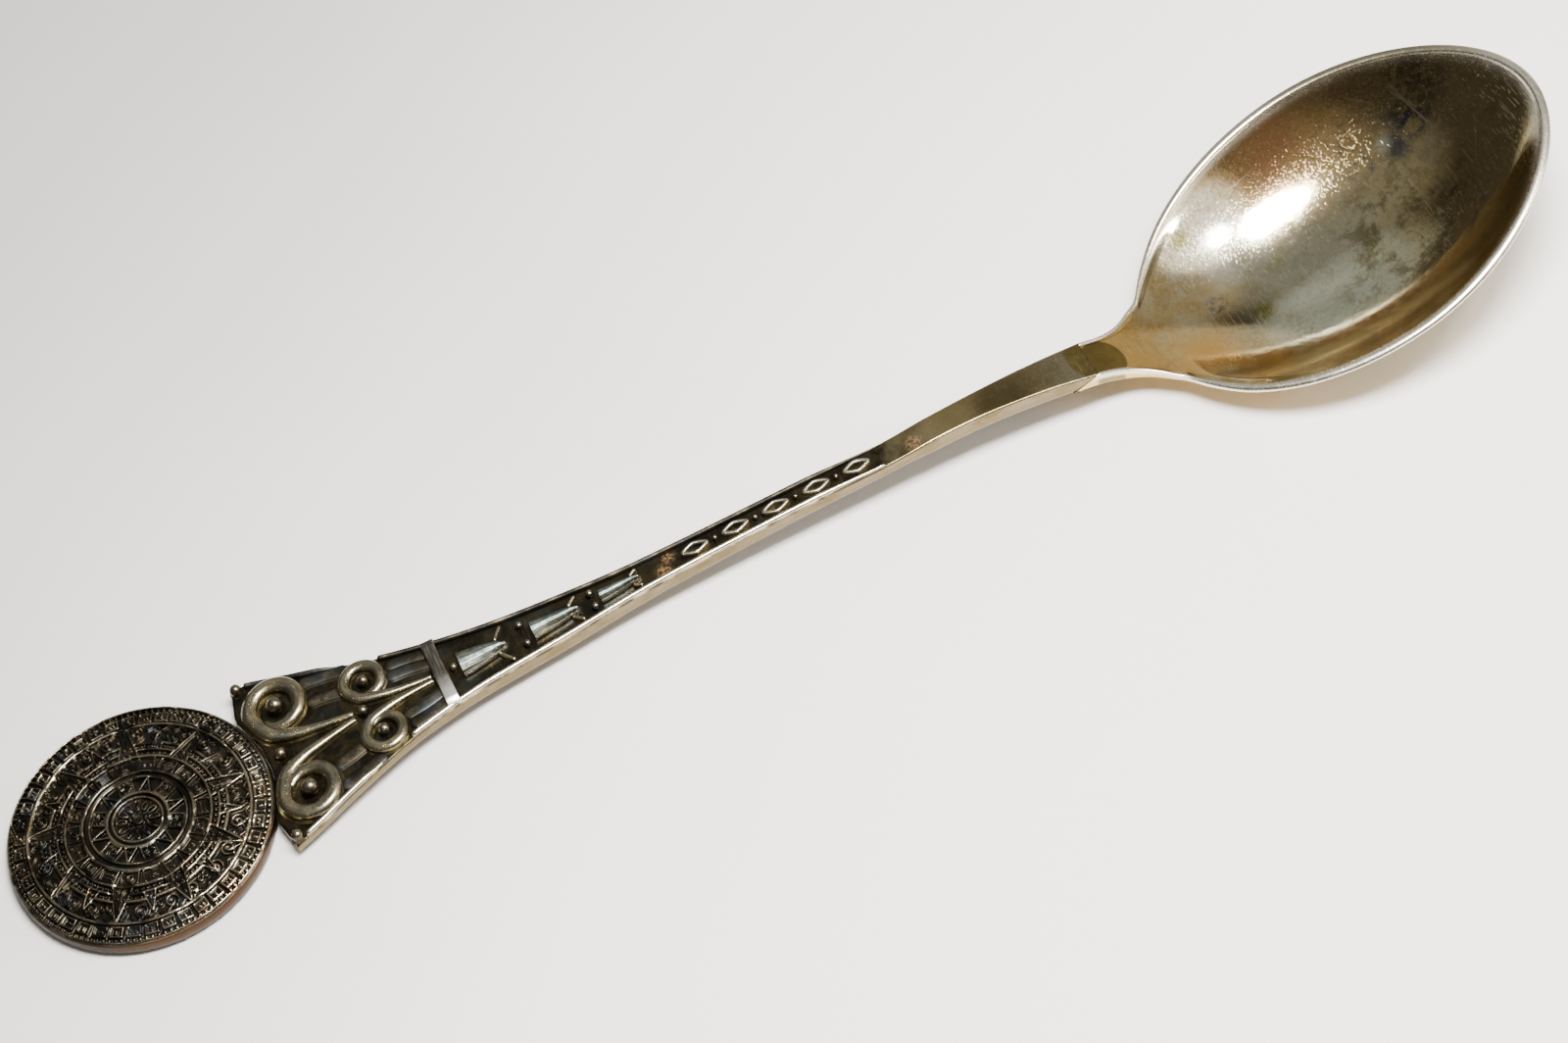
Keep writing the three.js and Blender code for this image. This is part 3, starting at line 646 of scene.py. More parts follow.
# a loft of rounded sections; its near end is hollowed to take the medallion
def buildHandle():
    edge, underEdge = handleSizes["edge"] * mm, handleSizes["underEdge"] * mm
    cut = handleSizes["cut"] * mm
    tipX = discEdge - handleSizes["tipBack"] * mm
    hollowFrom, hollowOver, hollowDeep = [size * mm for size in handleSizes["hollow"]]
    across = np.linspace(-1, 1, 25)
    corner = np.linspace(0, math.pi / 2, 5)

    def over(side, turns):
        return [(side, edge * (1 - math.sin(a)), edge * (1 - math.cos(a)), True) for a in turns]

    def below(side, turns):
        return [(side, underEdge * (1 - math.cos(a)), underEdge * (1 - math.sin(a)), False) for a in turns]

    # each place of the section: share of the width, inset of the edge, drop from the top or rise from below
    section = [(v, edge, 0.0, True) for v in across] + over(1, corner[1:]) + below(1, corner)
    section += [(v, underEdge, 0.0, False) for v in across[::-1][1:]]
    section += below(-1, corner[::-1][1:]) + over(-1, corner[::-1][:-1])
    share, inset, drop = np.array([s[:3] for s in section]).T
    onTop = np.array([s[3] for s in section])

    def endX(y):  # where the blank ends, beside and behind the medallion
        y = np.abs(y)
        roundEnd = discMiddle.x + np.sqrt(np.maximum(cut ** 2 - y ** 2, 0))
        return np.maximum(roundEnd, tipX - hollowDeep * np.clip((hollowFrom - y) / hollowOver, 0, 1))

    steps = np.linspace(0, 1, handleSizes["stations"])
    steps = np.concatenate([[0, 0.0012, 0.0028], steps[2:]])
    rings = []
    for u in steps:
        x = np.full(len(section), discEdge + u * (lapX - discEdge))
        for _ in range(8):
            y = share * (halfWidth(x) - inset)
            depth = np.where(onTop, drop, topZ(x) - underZ(x) - drop)
            last = lapX - handleSizes["slant"] * depth
            x = endX(y) + (last - endX(y)) * u
        soften = 0.07 * mm * (1 - min(1, u / 0.0028)) ** 2
        z = np.where(onTop, topZ(x) - drop - soften, underZ(x) + drop + soften)
        rings.append(np.stack([x, y, z], 1))
    around = len(section)
    faces = gridFaces(len(steps), around, True)
    half = len(across)
    turned = half + len(corner) - 1  # the first place below the right edge
    lower = turned + len(corner)
    for ring in (0, (len(steps) - 1) * around):
        order = [ring + k for k in range(around)]
        under = order[turned + len(corner) - 1:lower + half - 1][::-1]
        for k in range(half - 1):
            faces.append((order[k], order[k + 1], under[k + 1], under[k]))
        faces.append(tuple(order[half - 1:lower]))
        faces.append(tuple(order[lower + half - 2:] + [order[0]]))
    face = np.where(onTop & (drop < 0.3 * edge), 1.0, 0.0)
    under = np.where(onTop, 0.0, 1.0)
    addPiece("handle_body", np.concatenate(rings), faces, "handle", "handle", "handle",
             face=np.tile(face, len(steps)), under=np.tile(under, len(steps)))


buildHandle()
print("handle lofted")

# millimetres and degrees
bowl = {
    "length": 33.9, "width": 25.1, "depth": 5.4, "wall": 0.8, "rim": 0.8, "rimRound": 0.3, "tilt": 18.5,
    "point": 0.09, "deepest": -1.5, "fullness": 2.4, "lapGap": 0.1, "slant": 1.6, "crest": 1.1,
    "tangRim": 0.28, "tangRound": 0.10,
}
# the tang's outline and top: distance from the lap, then half width, or thickness
tangWidths = [(-0.5, 1.72), (0, 1.75), (1.9, 1.9), (3.6, 2.5), (5.2, 3.65), (7.1, 5.3), (8.3, 6.9)]
tangThickness = [(0, 1.3), (3, 1.1), (6, 0.75), (9, 0.55), (14, 0.55)]


# a smooth curve through pairs of numbers, as a function
def smoothLine(pairs):
    xs, ys = np.array(pairs, float).T
    slopes = np.gradient(ys, xs)

    def value(x):
        x = np.clip(x, xs[0], xs[-1])
        k = np.clip(np.searchsorted(xs, x, "right") - 1, 0, len(xs) - 2)
        span = xs[k + 1] - xs[k]
        t = (x - xs[k]) / span
        a = ys[k] * (2 * t ** 3 - 3 * t ** 2 + 1) + ys[k + 1] * (3 * t ** 2 - 2 * t ** 3)
        return a + span * (slopes[k] * (t ** 3 - 2 * t ** 2 + t) + slopes[k + 1] * (t ** 3 - t ** 2))
    return value


# in millimetres until the points are handed over
def buildBowl():
    tilt = math.radians(bowl["tilt"])
    cosT, sinT = math.cos(tilt), math.sin(tilt)
    halfLength, halfWide = bowl["length"] / 2, bowl["width"] / 2
    midX = bowlTip.x / mm - halfLength * cosT
    midZ = bowlTip.z / mm - 0.02 - halfLength * sinT
    lap = lapX / mm
    shoulder = lap + 8.3  # from here on the outline is the oval's own
    inner = 1 - bowl["rim"] / halfWide

    def rimPlane(x):
        return midZ + (x - midX) * math.tan(tilt)

    def rimPoint(a):
        ahead = np.maximum(0, np.cos(a))
        return halfLength * np.cos(a), halfWide * np.sin(a) * (1 - bowl["point"] * ahead ** 2)

    ringS, ringT = rimPoint(np.linspace(0, math.pi, 721))
    ringAngle = np.arctan2(ringT, ringS - bowl["deepest"])
    ringFar = np.hypot(ringS - bowl["deepest"], ringT)

    def share(s, t):  # how far out towards the rim a place lies, 1 on the rim
        s = s - bowl["deepest"]
        return np.hypot(s, t) / np.interp(np.arctan2(np.abs(t), s), ringAngle, ringFar)

    def dish(x, y, depth, stop):  # height of a bowl shaped surface, which runs on straight past stop
        h = np.zeros_like(x)
        drop = depth - bowl["rimRound"]
        slope = drop * bowl["fullness"] / stop
        for _ in range(10):
            s = (x - midX + h * sinT) / cosT
            p = share(s, y)
            inside = 1 - (np.minimum(p, stop) / stop) ** bowl["fullness"]
            h = -bowl["rimRound"] - drop * inside + slope * np.maximum(p - stop, 0)
        return midZ + s * sinT + h * cosT

    # the tang's top line, from the solid, then a little over the rim's plane
    tangTree = BVHTree.FromObject(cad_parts["bowl"], bpy.context.evaluated_depsgraph_get())
    pairs = [(lap - d, float(topZ((lap - d) * mm)) / mm) for d in (3.6, 2.8, 2.1, 1.4, 0.7)]
    for x in np.arange(lap + 0.6, lap + 5.0, 0.9):
        pairs.append((x, hit(tangTree, (x * mm, 0, 0.02), (0, 0, -1)).z / mm))
    for x in (lap + 6.6, lap + 8.4, lap + 11, lap + 16, lap + 40):
        pairs.append((x, rimPlane(x) + 0.42 + 0.12 * (x - lap - 6.6)))
    tangTop = smoothLine(pairs)
    tangSide = smoothLine([(lap + a, w) for a, w in tangWidths])
    thick = smoothLine([(lap + a, t) for a, t in tangThickness])

    def floorZ(x, y):
        return softMin(dish(x, y, bowl["depth"], inner), tangTop(x), bowl["crest"])

    def backZ(x, y):
        return softMin(dish(x, y, bowl["depth"] + bowl["wall"], 1.0), tangTop(x) - thick(x), 0.8)

    # half of the outline: the tang's side, the shoulder, then the oval round to the tip
    ovalS, ovalT = rimPoint(np.linspace(math.pi, 0, 1400))
    ovalX = midX + ovalS * cosT
    rear = np.linspace(lap, shoulder, 500)
    ovalHere = np.interp(rear, ovalX, ovalT, left=0)
    joined = -softMin(-tangSide(rear), -ovalHere, 1.3)
    weight = ease((shoulder - rear) / 1.6)
    joined = joined * weight + ovalHere * (1 - weight)
    keep = ovalX > shoulder
    halves = (rear[:-1], ovalX[keep]), (joined[:-1], ovalT[keep])
    outline = np.column_stack([np.concatenate(half) for half in halves])
    length = lengthAlong(outline)
    count = 230
    outX, outY = [np.interp(np.linspace(0, length[-1], count), length, line) for line in outline.T]
    outY[-1] = 0.0
    spine = np.minimum(outX, midX + bowl["deepest"] * cosT + bowl["depth"] * sinT)

    # how wide and high the rim's rounding is, and how high the rim stands, along the outline
    onOval = ease((outX - lap - 4.0) / 4.5)
    rimWidth = bowl["tangRim"] + (bowl["rim"] - bowl["tangRim"]) * onOval
    rimHigh = bowl["tangRound"] + (bowl["rimRound"] - bowl["tangRound"]) * onOval
    over = np.maximum(tangTop(outX) - rimPlane(outX), 0) * (1 - ease((outX - lap - 4.5) / 4.6))
    crestZ = rimPlane(outX) + np.where(outX < lap + 9.5, over, 0)

    inSteps = 1 - (1 - np.linspace(0, 1, 40)) ** 1.35
    back = inSteps[::-1]
    rimTurn = np.linspace(math.pi, 0, 9)[1:-1]
    rows = []
    for j in range(count):
        side = outX[j] - spine[j]
        stop = 1 - rimWidth[j] / max(math.hypot(side, outY[j]), 1e-6)
        foot = crestZ[j] - rimHigh[j]
        x, y = spine[j] + side * inSteps * stop, outY[j] * inSteps * stop
        z = floorZ(x, y)
        z = z + (foot - z[-1]) * ease((inSteps - 0.86) / 0.14)
        turn = (1 + stop) / 2 + (1 - stop) / 2 * np.cos(rimTurn)
        backX, backY = spine[j] + side * back, outY[j] * back
        under = backZ(backX, backY)
        target = foot - 0.25 * (1 - onOval[j])
        under = under + (target - under[0]) * ease((back - 0.93) / 0.07)
        if onOval[j] < 0.5:
            under = np.minimum(under, target)
        under = -softMin(-under, 0.0, 0.2)  # on or above the table
        rows.append(np.stack([
            np.concatenate([x, spine[j] + side * turn, backX]),
            np.concatenate([y, outY[j] * turn, backY]),
            np.concatenate([z, foot + rimHigh[j] * np.sin(rimTurn), under]),
        ], 1))
    high = np.concatenate([ease((inSteps - 0.95) / 0.05), np.ones(len(rimTurn)), ease((back - 0.97) / 0.03)])
    half = np.array(rows)
    # the lap's slanting face
    top = tangTop(half[:, :, 0])
    lean = np.clip((lap + 2.5 - half[:, :, 0]) / 2.5, 0, 1)
    moved = half[:, :, 0] + (bowl["lapGap"] - bowl["slant"] * np.maximum(top - half[:, :, 2], 0)) * lean
    half[:, :, 2] += tangTop(moved) - top
    half[:, :, 0] = moved
    columns = half.shape[1]
    left = half.reshape(-1, 3)
    right = left * (1, -1, 1)
    faces = gridFaces(count, columns) + gridFaces(count, columns, False, len(left))
    # the end of the tang, closed from its top to its underside
    inCount, rimCount = len(inSteps), len(rimTurn)
    for base in (0, len(left)):
        for k in range(base, base + inCount - 1):
            far = 2 * base + columns - 1 - k
            faces.append((k, k + 1, far - 1, far))
        faces.append(tuple(base + k for k in range(inCount - 1, inCount + rimCount + 1)))
    addPiece("bowl_body", np.concatenate([left, right]) * mm, faces, "bowl", "bowl", "bowl", sharp=60,
             high=np.tile(high, 2 * count))


buildBowl()
print("bowl raised")

# for a wire of radius 1: its height over the face, and the fillet of solder at its foot
wireHeight = 1.92
footProfile = [(-1.22, -0.12), (-1.16, 0.03)]
bothSides = (("left", 1), ("right", -1))


def wireSection(sides=14, height=wireHeight):
    turn = np.radians(np.linspace(212, -32, sides))
    ring = [(math.cos(a), height * (0.48 + 0.52 * math.sin(a))) for a in turn]
    return np.array(footProfile + ring + [(-a, b) for a, b in footProfile[::-1]])


# sweeps the wire's section along places (x, y) on the handle's face, in metres
def layWire(node, path, radius, look, slot, sides=14, height=wireHeight, closed=False, rise=1.0):
    radius = np.broadcast_to(np.asarray(radius, float), len(path)).copy()
    if closed:
        along = np.roll(path, -1, 0) - np.roll(path, 1, 0)
    else:
        along = np.gradient(path, axis=0)
        away = lengthAlong(path)
        for distance in (away, away[-1] - away):
            near = np.clip(distance / (radius * 1.1), 0, 1)
            radius *= np.sqrt(np.maximum(1 - (1 - near) ** 2, 0.02))
    along /= np.linalg.norm(along, axis=1, keepdims=True)
    aside = np.stack([-along[:, 1], along[:, 0]], 1)
    section = wireSection(sides, height)
    points = []
    for place, across, r in zip(path, aside, radius):
        flat = place + np.outer(section[:, 0] * r, across)
        points.append(np.column_stack([flat, topZ(flat[:, 0]) + section[:, 1] * r * rise]))
    high = np.tile(np.clip(section[:, 1] / section[:, 1].max(), 0, 1), len(path))
    faces = tubeFaces(len(path), len(section), closed)
    addPiece(node + "_wire", np.concatenate(points), faces, look, slot, node, sharp=70, high=high)


# even points on a smooth curve through the places
def curveThrough(places, count):
    places = np.asarray(places, float)
    p = np.concatenate([[2 * places[0] - places[1]], places, [2 * places[-1] - places[-2]]])
    found = []
    for a, b, c, d in zip(p, p[1:], p[2:], p[3:]):
        for t in np.linspace(0, 1, 24, endpoint=False):
            bend = (2 * a - 5 * b + 4 * c - d) * t ** 2 + (3 * b - 3 * c + d - a) * t ** 3
            found.append(0.5 * (2 * b + (c - a) * t + bend))
    found.append(places[-1])
    length = lengthAlong(found)
    even = np.linspace(0, length[-1], count)
    return np.column_stack([np.interp(even, length, line) for line in np.array(found).T])


# a drop of silver with a fillet at its foot
def layShot(node, radius):
    middle = middleOf(node)
    radius = radius * mm
    section = wireSection(20)
    section = section[:len(section) // 2]
    around = 36
    turn = np.linspace(0, 2 * math.pi, around, endpoint=False)
    points, high = [], []
    for a, b in section:
        x = middle.x + radius * abs(a) * np.cos(turn)
        y = middle.y + radius * abs(a) * np.sin(turn)
        points.append(np.stack([x, y, topZ(x) + b * radius], 1))
        high.append(np.full(around, max(0, b / wireHeight)))
    points.append([[middle.x, middle.y, float(topZ(middle.x)) + wireHeight * radius]])
    high.append([1.0])
    count = len(section) * around
    faces = gridFaces(len(section), around, True) + [tuple(range(around))]
    faces += [(count - around + k, count - around + (k + 1) % around, count) for k in range(around)]
    addPiece(node + "_drop", np.concatenate(points), faces, "shot", "shot", node, sharp=80,
             high=np.concatenate(high))


# millimetres; the tail runs up to the coil: how far from the medallion, then how far aside
scrolls = {
    "large": {"radius": 2.0, "last": 1.62, "turns": 0.93, "wire": 1.22, "boss": 0.66,
              "tail": [(7.15, 0.22), (5.9, 0.42), (4.3, 0.70), (2.6, 1.08), (1.1, 1.80), (0.45, 2.85)]},
    "small": {"radius": 1.50, "last": 1.16, "turns": 0.90, "wire": 0.92, "boss": 0.47,
              "tail": [(13.35, 0.19), (11.6, 0.30), (9.9, 0.52), (8.1, 1.02), (7.4, 1.7)]},
}
# the scroll's wire: how thick at its tail, where it is full, where it thins again, how thick at its end
scrollWire = {"tail": 0.42, "full": 0.42, "thins": 0.72, "end": 0.72, "height": 1.5, "places": 190}


def buildScrolls():
    along = np.linspace(0, 1, scrollWire["places"])
    grow = scrollWire["tail"] + (1 - scrollWire["tail"]) * ease(along / scrollWire["full"])
    grow *= 1 - (1 - scrollWire["end"]) * ease((along - scrollWire["thins"]) / (1 - scrollWire["thins"]))
    for size, scroll in scrolls.items():
        for side, sign in bothSides:
            boss = f"{size}_boss_{side}"
            middle = middleOf(boss)
            run = [(discEdge + x * mm, y * mm) for x, y in scroll["tail"]]
            for t in np.linspace(0, 1, 16):
                angle = math.pi + t * scroll["turns"] * 2 * math.pi
                r = (scroll["radius"] + t * (scroll["last"] - scroll["radius"])) * mm
                run.append((middle.x + r * math.cos(angle), abs(middle.y) - r * math.sin(angle)))
            path = curveThrough(run, len(along)) * (1, sign)
            radius = scroll["wire"] / 2 * mm * grow
            layWire(f"{size}_scroll_{side}", path, radius, "scroll", "scrolls", 20, scrollWire["height"])
            layShot(boss, scroll["boss"])


# the ends of a thin wire that lies slanting in a node's box
def wireEnds(node, inwards):
    low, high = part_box(node)
    near, far = (high.y, low.y) if inwards else (low.y, high.y)
    return np.array([low.x, near]), np.array([high.x, far])


reeds = {"wire": 1.0, "bow": 0.10, "height": 0.40, "longer": 0.8}


def buildReeds():
    for name in ("outer_reed", "inner_reed", "outer_band_reed", "inner_band_reed"):
        for side, sign in bothSides:
            node = f"{name}_{side}"
            start, end = wireEnds(node, side == "left")
            start[0] -= reeds["longer"] * mm
            end[0] += reeds["longer"] * mm
            middle = (start + end) / 2 + (0, sign * reeds["bow"] * mm)
            path = curveThrough([start, middle, end], 40)
            layWire(node, path, reeds["wire"] / 2 * mm, "reed", "scrolls", 10, reeds["height"])


# runs: places along the rail, and the millimetres over which its far end thins
rails = {"wire": 0.42, "inset": 0.20, "thinned": 0.62,
         "runs": {"tip_rail": (60, 2.0), "edge_rail": (220, 6.0)}}


def buildRails():
    for name, (places, fade) in rails["runs"].items():
        for side, sign in bothSides:
            node = f"{name}_{side}"
            low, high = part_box(node)
            x = np.linspace(low.x, high.x, places)
            y = sign * (halfWidth(x) - rails["inset"] * mm)
            thin = 1 - rails["thinned"] * ease((x - high.x + fade * mm) / (fade * mm))
            # painted light and shade: the far rail takes the dark copy of the rail silver, the near rail the
            # pale lit one
            look = "shaded_far_rail" if side == "left" else "rail"
            layWire(node, np.column_stack([x, y]), rails["wire"] / 2 * mm * thin, look, "rails", 10)


# radius of the drops of each kind
shotSizes = {"end_shot": 0.46, "middle_shot": 0.42, "band_shot": 0.32, "tip_shot": 0.44, "leaf_shot": 0.3,
             "lozenge_shot": 0.22}


def buildShot():
    for kind, radius in shotSizes.items():
        for node in sorted(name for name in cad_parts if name.startswith(kind)):
            layShot(node, radius)


leaf = {"height": 0.5, "wide": 1.06, "spur": 0.17, "spurBow": 0.03}
# the leaf's section from its right edge to its left one: place, height, how bright, how blue
leafSection = [
    (-1.0, 0.10, 0.5, 0.0), (-0.93, 0.72, 1.0, 0.0), (-0.84, 0.98, 1.0, 0.0), (-0.74, 0.80, 0.7, 0.0),
    (-0.62, 0.34, 0.0, 0.0), (-0.46, 0.26, 0.0, 0.0), (-0.30, 0.52, 0.0, 0.6), (-0.10, 0.84, 0.1, 1.0),
    (0.20, 1.0, 0.2, 1.0), (0.55, 0.98, 0.1, 1.0), (0.80, 0.80, 0.1, 0.9), (0.93, 0.46, 0.0, 0.3),
    (1.0, 0.10, 0.0, 0.0),
]


# rounded tongues, each with a broad far side, a valley and a thin rim towards the right, and two spurs
def buildLeaves():
    rows, columns = 46, 41
    count = rows * columns
    shares, heights, brights, blues = np.array(leafSection).T
    along, across = np.meshgrid(np.linspace(0, 1, rows), np.linspace(-1, 1, columns), indexing="ij")
    closing = ease((along - 0.80) / 0.15)
    lift = np.interp(across, shares, heights)
    lift = lift + (np.clip(1.2 * (1 - np.abs(across)), 0, 0.9) - lift) * closing
    tip = ease((1 - along) / 0.06)
    bright = np.maximum(np.interp(across, shares, brights), closing * (across < 0.2) * 0.8)
    blue = np.interp(across, shares, blues) * (1 - 0.6 * closing)
    border = [i * columns for i in range(rows)] + [(rows - 1) * columns + j for j in range(1, columns)]
    border += [i * columns + columns - 1 for i in range(rows - 2, -1, -1)]
    border += [j for j in range(columns - 2, 0, -1)]
    faces = gridFaces(rows, columns) + gridFaces(rows, columns, False, count)
    faces += [(a, b, b + count, a + count) for a, b in zip(border, border[1:] + border[:1])]
    for number in (1, 2, 3):
        node = f"leaf_{number}"
        low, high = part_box(node)
        width = high.y * leaf["wide"] * np.sqrt(np.clip(1 - along ** 3.2, 0, 1)) * (1 - 0.42 * along)
        width[-1] = 0.02 * mm
        x, y = low.x + along * (high.x - low.x), across * width
        z = topZ(x) + leaf["height"] * mm * (0.05 + 0.95 * lift) * (0.35 + 0.65 * tip)
        points = [np.stack([x, y, height], -1).reshape(-1, 3) for height in (z, topZ(x) - 0.04 * mm)]
        addPiece(node + "_blade", np.concatenate(points), faces, "leaf", "leaves", node, sharp=50,
                 high=np.append(bright, np.zeros(count)), face=np.append(blue, np.zeros(count)))
        for side in ("left", "right"):
            spur = f"spur_{number}_{side}"
            start, end = wireEnds(spur, side == "right")
            middle = (start + end) / 2 - (leaf["spurBow"] * mm, 0)
            layWire(spur, curveThrough([start, middle, end], 22), leaf["spur"] * mm, "scroll", "leaves", 8)


band = {"height": 0.66, "edge": 0.09, "drop": 0.16, "swell": 0.05, "foot": 0.02}


# a flat strip across the handle, bent down a little over the rails
def buildBand():
    low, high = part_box("cross_band")
    half, middle = (high.x - low.x) / 2, (high.x + low.x) / 2
    edge = band["edge"] * mm
    turns = np.linspace(math.pi / 2, 0, 4)
    corner = [(-half + edge * (1 - math.sin(a)), -edge * (1 - math.cos(a))) for a in turns]
    section = [(-half, None)] + corner + [(-x, z) for x, z in corner[::-1]] + [(half, None)]
    across = np.linspace(-1, 1, 61)
    points, bright = [], []
    for v in across:
        swell = 1 + band["swell"] * ease((abs(v) - 0.7) / 0.3)
        top = band["height"] * mm - band["drop"] * mm * ease((abs(v) - 0.82) / 0.18)
        for x, z in section:
            x = middle + x * swell
            points.append((x, v * high.y, float(topZ(x)) + (band["foot"] * mm if z is None else top + z)))
            bright.append(0.0 if z is None else 1.0)
    faces = tubeFaces(len(across), len(section))
    addPiece("cross_band_strip", points, faces, "band", "band", "cross_band", sharp=40, high=bright)


lozenge = {"wire": 0.36, "hollow": 1.55, "rise": 1.15}


# bent wire lozenges, each closed on itself
def buildLozenges():
    turn = np.linspace(0, 2 * math.pi, 73)[:-1]
    wire = lozenge["wire"] / 2 * mm
    for number in range(1, 6):
        node = f"lozenge_{number}"
        low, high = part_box(node)
        a, b = (high.x - low.x) / 2 - wire, (high.y - low.y) / 2 - wire * 0.6
        x = a * np.sign(np.cos(turn)) * np.abs(np.cos(turn)) ** lozenge["hollow"]
        y = b * np.sign(np.sin(turn)) * np.abs(np.sin(turn)) ** lozenge["hollow"]
        path = np.column_stack([((low + high) / 2).x + x, y])
        layWire(node, path, wire, "wire", "lozenges", 10, closed=True, rise=lozenge["rise"])


buildScrolls()
buildReeds()
buildRails()
buildShot()
buildLeaves()
buildBand()
buildLozenges()
print("wires, shot, leaves and band laid")

# millimetres, then how many places there are around the disc and outwards
disc = {"radius": 10.0, "edge": 1.5, "sunk": 0.2, "crown": 0.55, "relief": 0.30, "around": 900, "out": 190}


# 1 within half of the middle, falling smoothly to 0 over soft
def pulse(value, middle, half, soft):
    return 1 - ease((np.abs(value - middle) - half) / soft)


def dot(x, y, half, soft):
    return pulse(np.hypot(x, y), 0, half, soft)


def block(x, y, halfX, halfY, soft=0.06):
    return pulse(x, 0, halfX, soft) * pulse(y, 0, halfY, soft)


# a made-up calendar disc: a rosette, rays and rings of little panels; 0 is the ground, 1 the top
def reliefHeight(r, angle):
    h = np.zeros_like(r)

    def lift(part):
        np.maximum(h, part, out=h)

    def across(count, turn=0.0):  # of count cells round the circle: millimetres across a cell, and its number
        place = angle / (2 * math.pi) * count + turn
        return (place % 1.0 - 0.5) * 2 * math.pi * r / count, np.floor(place % count)

    # plain rings that part the zones
    for ring, half in ((9.82, 0.10), (8.28, 0.07), (6.62, 0.07), (6.02, 0.06), (5.42, 0.06), (4.12, 0.07),
                       (3.62, 0.05), (2.28, 0.09), (1.86, 0.05)):
        lift(pulse(r, ring, half + 0.015, 0.07) * 1.1)
    # outermost ring: panels with a notch or two dots, and a row of beads
    x, number = across(44)
    y = r - 8.9
    inside = block(x, y, 0.34, 0.25)
    bar = block(x, r - 8.95, 0.06, 0.16) * (number % 2)
    dots = dot(x - 0.14, y, 0.06, 0.06) + dot(x + 0.14, y, 0.06, 0.06)
    framed = block(x, y, 0.50, 0.40, 0.07) * 0.95 - inside * 0.6
    lift(framed + inside * 0.65 * np.maximum(bar, dots * ((number + 1) % 2)))
    lift(dot(across(132)[0], r - 9.52, 0.09, 0.10) * 0.8)
    # broad ring of scrolls and leaves between the rays
    x, number = across(24, 0.5)
    flip = np.where(number % 2 == 0, 1.0, -1.0)
    rho = np.hypot(x * flip - 0.12, r - 7.42)
    phi = np.arctan2(r - 7.42, x * flip - 0.12) / (2 * math.pi)
    lift(pulse((rho / 0.36 - phi) % 1.0, 0.5, 0.16, 0.16) * pulse(rho, 0, 0.56, 0.1) * 0.75)
    lift(pulse(np.hypot((x + flip * 0.72) * 1.3, r - 7.15), 0.22, 0.05, 0.08) * 0.62)
    lift(pulse(r - 7.95 + 0.16 * np.cos(x * 5.5), 0, 0.06, 0.08) * 0.6)
    # nine large rays, and nine small ones between them
    for turn, foot, tip, wide in ((0.5, 5.5, 8.2, 0.72), (0.0, 6.1, 7.6, 0.42)):
        x = np.abs(across(9, turn)[0])
        flank = wide * (1 - np.clip((r - foot) / (tip - foot), 0, 1)) ** 0.8
        body = pulse(x, 0, flank, 0.06) * (r > foot) * (r < tip)
        h[:] = np.where(body > 0.5, 0.12, h)
        lift(pulse(x, flank, 0.05, 0.07) * (r > foot - 0.02) * (r < tip + 0.05))
        lift(pulse(x, 0, 0.05, 0.06) * pulse(r, (foot + tip) / 2 - 0.3, (tip - foot) * 0.22, 0.1) * 0.6)
        lift(dot(x, r - foot - 0.32, 0.1, 0.08) * 0.85)
    # two rows of small beads
    for ring, count in ((6.32, 90), (5.72, 80)):
        lift(dot(across(count)[0], r - ring, 0.075, 0.1) * 0.8)
    # ring of square panels, each with a plain sign: steps, a cross, a ring or bars
    x, number = across(18, 0.25)
    y = r - 4.77
    inside = block(x, y, 0.54, 0.38)
    signs = [
        pulse(np.maximum(np.abs(x + y) - 0.16, np.abs(x - y) - 0.42), 0, 0.06, 0.07),
        pulse(np.minimum(np.abs(x), np.abs(y)), 0, 0.05, 0.06) * dot(x, y, 0.3, 0.06),
        pulse(np.hypot(x, y), 0.22, 0.05, 0.06),
        pulse(np.abs(y), 0.15, 0.05, 0.06) * pulse(x, 0, 0.34, 0.06),
        pulse(np.maximum(np.abs(x) - 0.2, np.abs(y) - 0.2), 0, 0.05, 0.07),
        dot(np.abs(x) - 0.22, y, 0.1, 0.07),
    ]
    glyph = np.choose(((number * 5 + 2) % 6).astype(int), signs)
    lift(block(x, y, 0.66, 0.5) * 0.9 - inside * 0.62 + inside * glyph * 0.55)
    # six framed squares and six darts round the middle
    x = across(6)[0]
    y = r - 2.95
    square = np.maximum(np.abs(x) * 0.95, np.abs(y) * 1.05)
    lift(pulse(square, 0.52, 0.06, 0.06) * 0.95)
    lift(pulse(square, 0, 0.40, 0.05) * (0.35 + 0.5 * pulse(np.abs(x * y), 0.05, 0.02, 0.03)))
    x = across(6, 0.5)[0]
    dart = np.abs(x) - 0.42 * (1 - np.clip((r - 2.4) / 1.15, 0, 1))
    lift(pulse(dart, 0, 0.055, 0.07) * (r > 2.4) * (r < 3.6))
    lift(dot(x, r - 2.72, 0.09, 0.07) * 0.8)
    # rosette in the middle
    petal = np.hypot(across(12)[0] * 1.9, (r - 1.22) * 0.95)
    lift((r < 1.8) * pulse(petal, 0.36, 0.06, 0.08) * 0.85)
    lift((r < 1.8) * pulse(petal, 0, 0.16, 0.12) * 0.55)
    lift(pulse(r, 0, 0.36, 0.14))
    lift(dot(across(8)[0], r - 0.56, 0.07, 0.07) * 0.7)
    return h


# smooth unevenness of a casting, from sums of waves
def lumps(x, y, seed):
    pick = np.random.default_rng(seed)
    total = np.zeros_like(x)
    for _ in range(26):
        way = pick.uniform(0, 2 * math.pi)
        size = pick.uniform(0.25, 1.4)
        shift = pick.uniform(0, 2 * math.pi)
        total += np.sin((x * math.cos(way) + y * math.sin(way)) * 2 * math.pi / size + shift) * size
    return total / 10


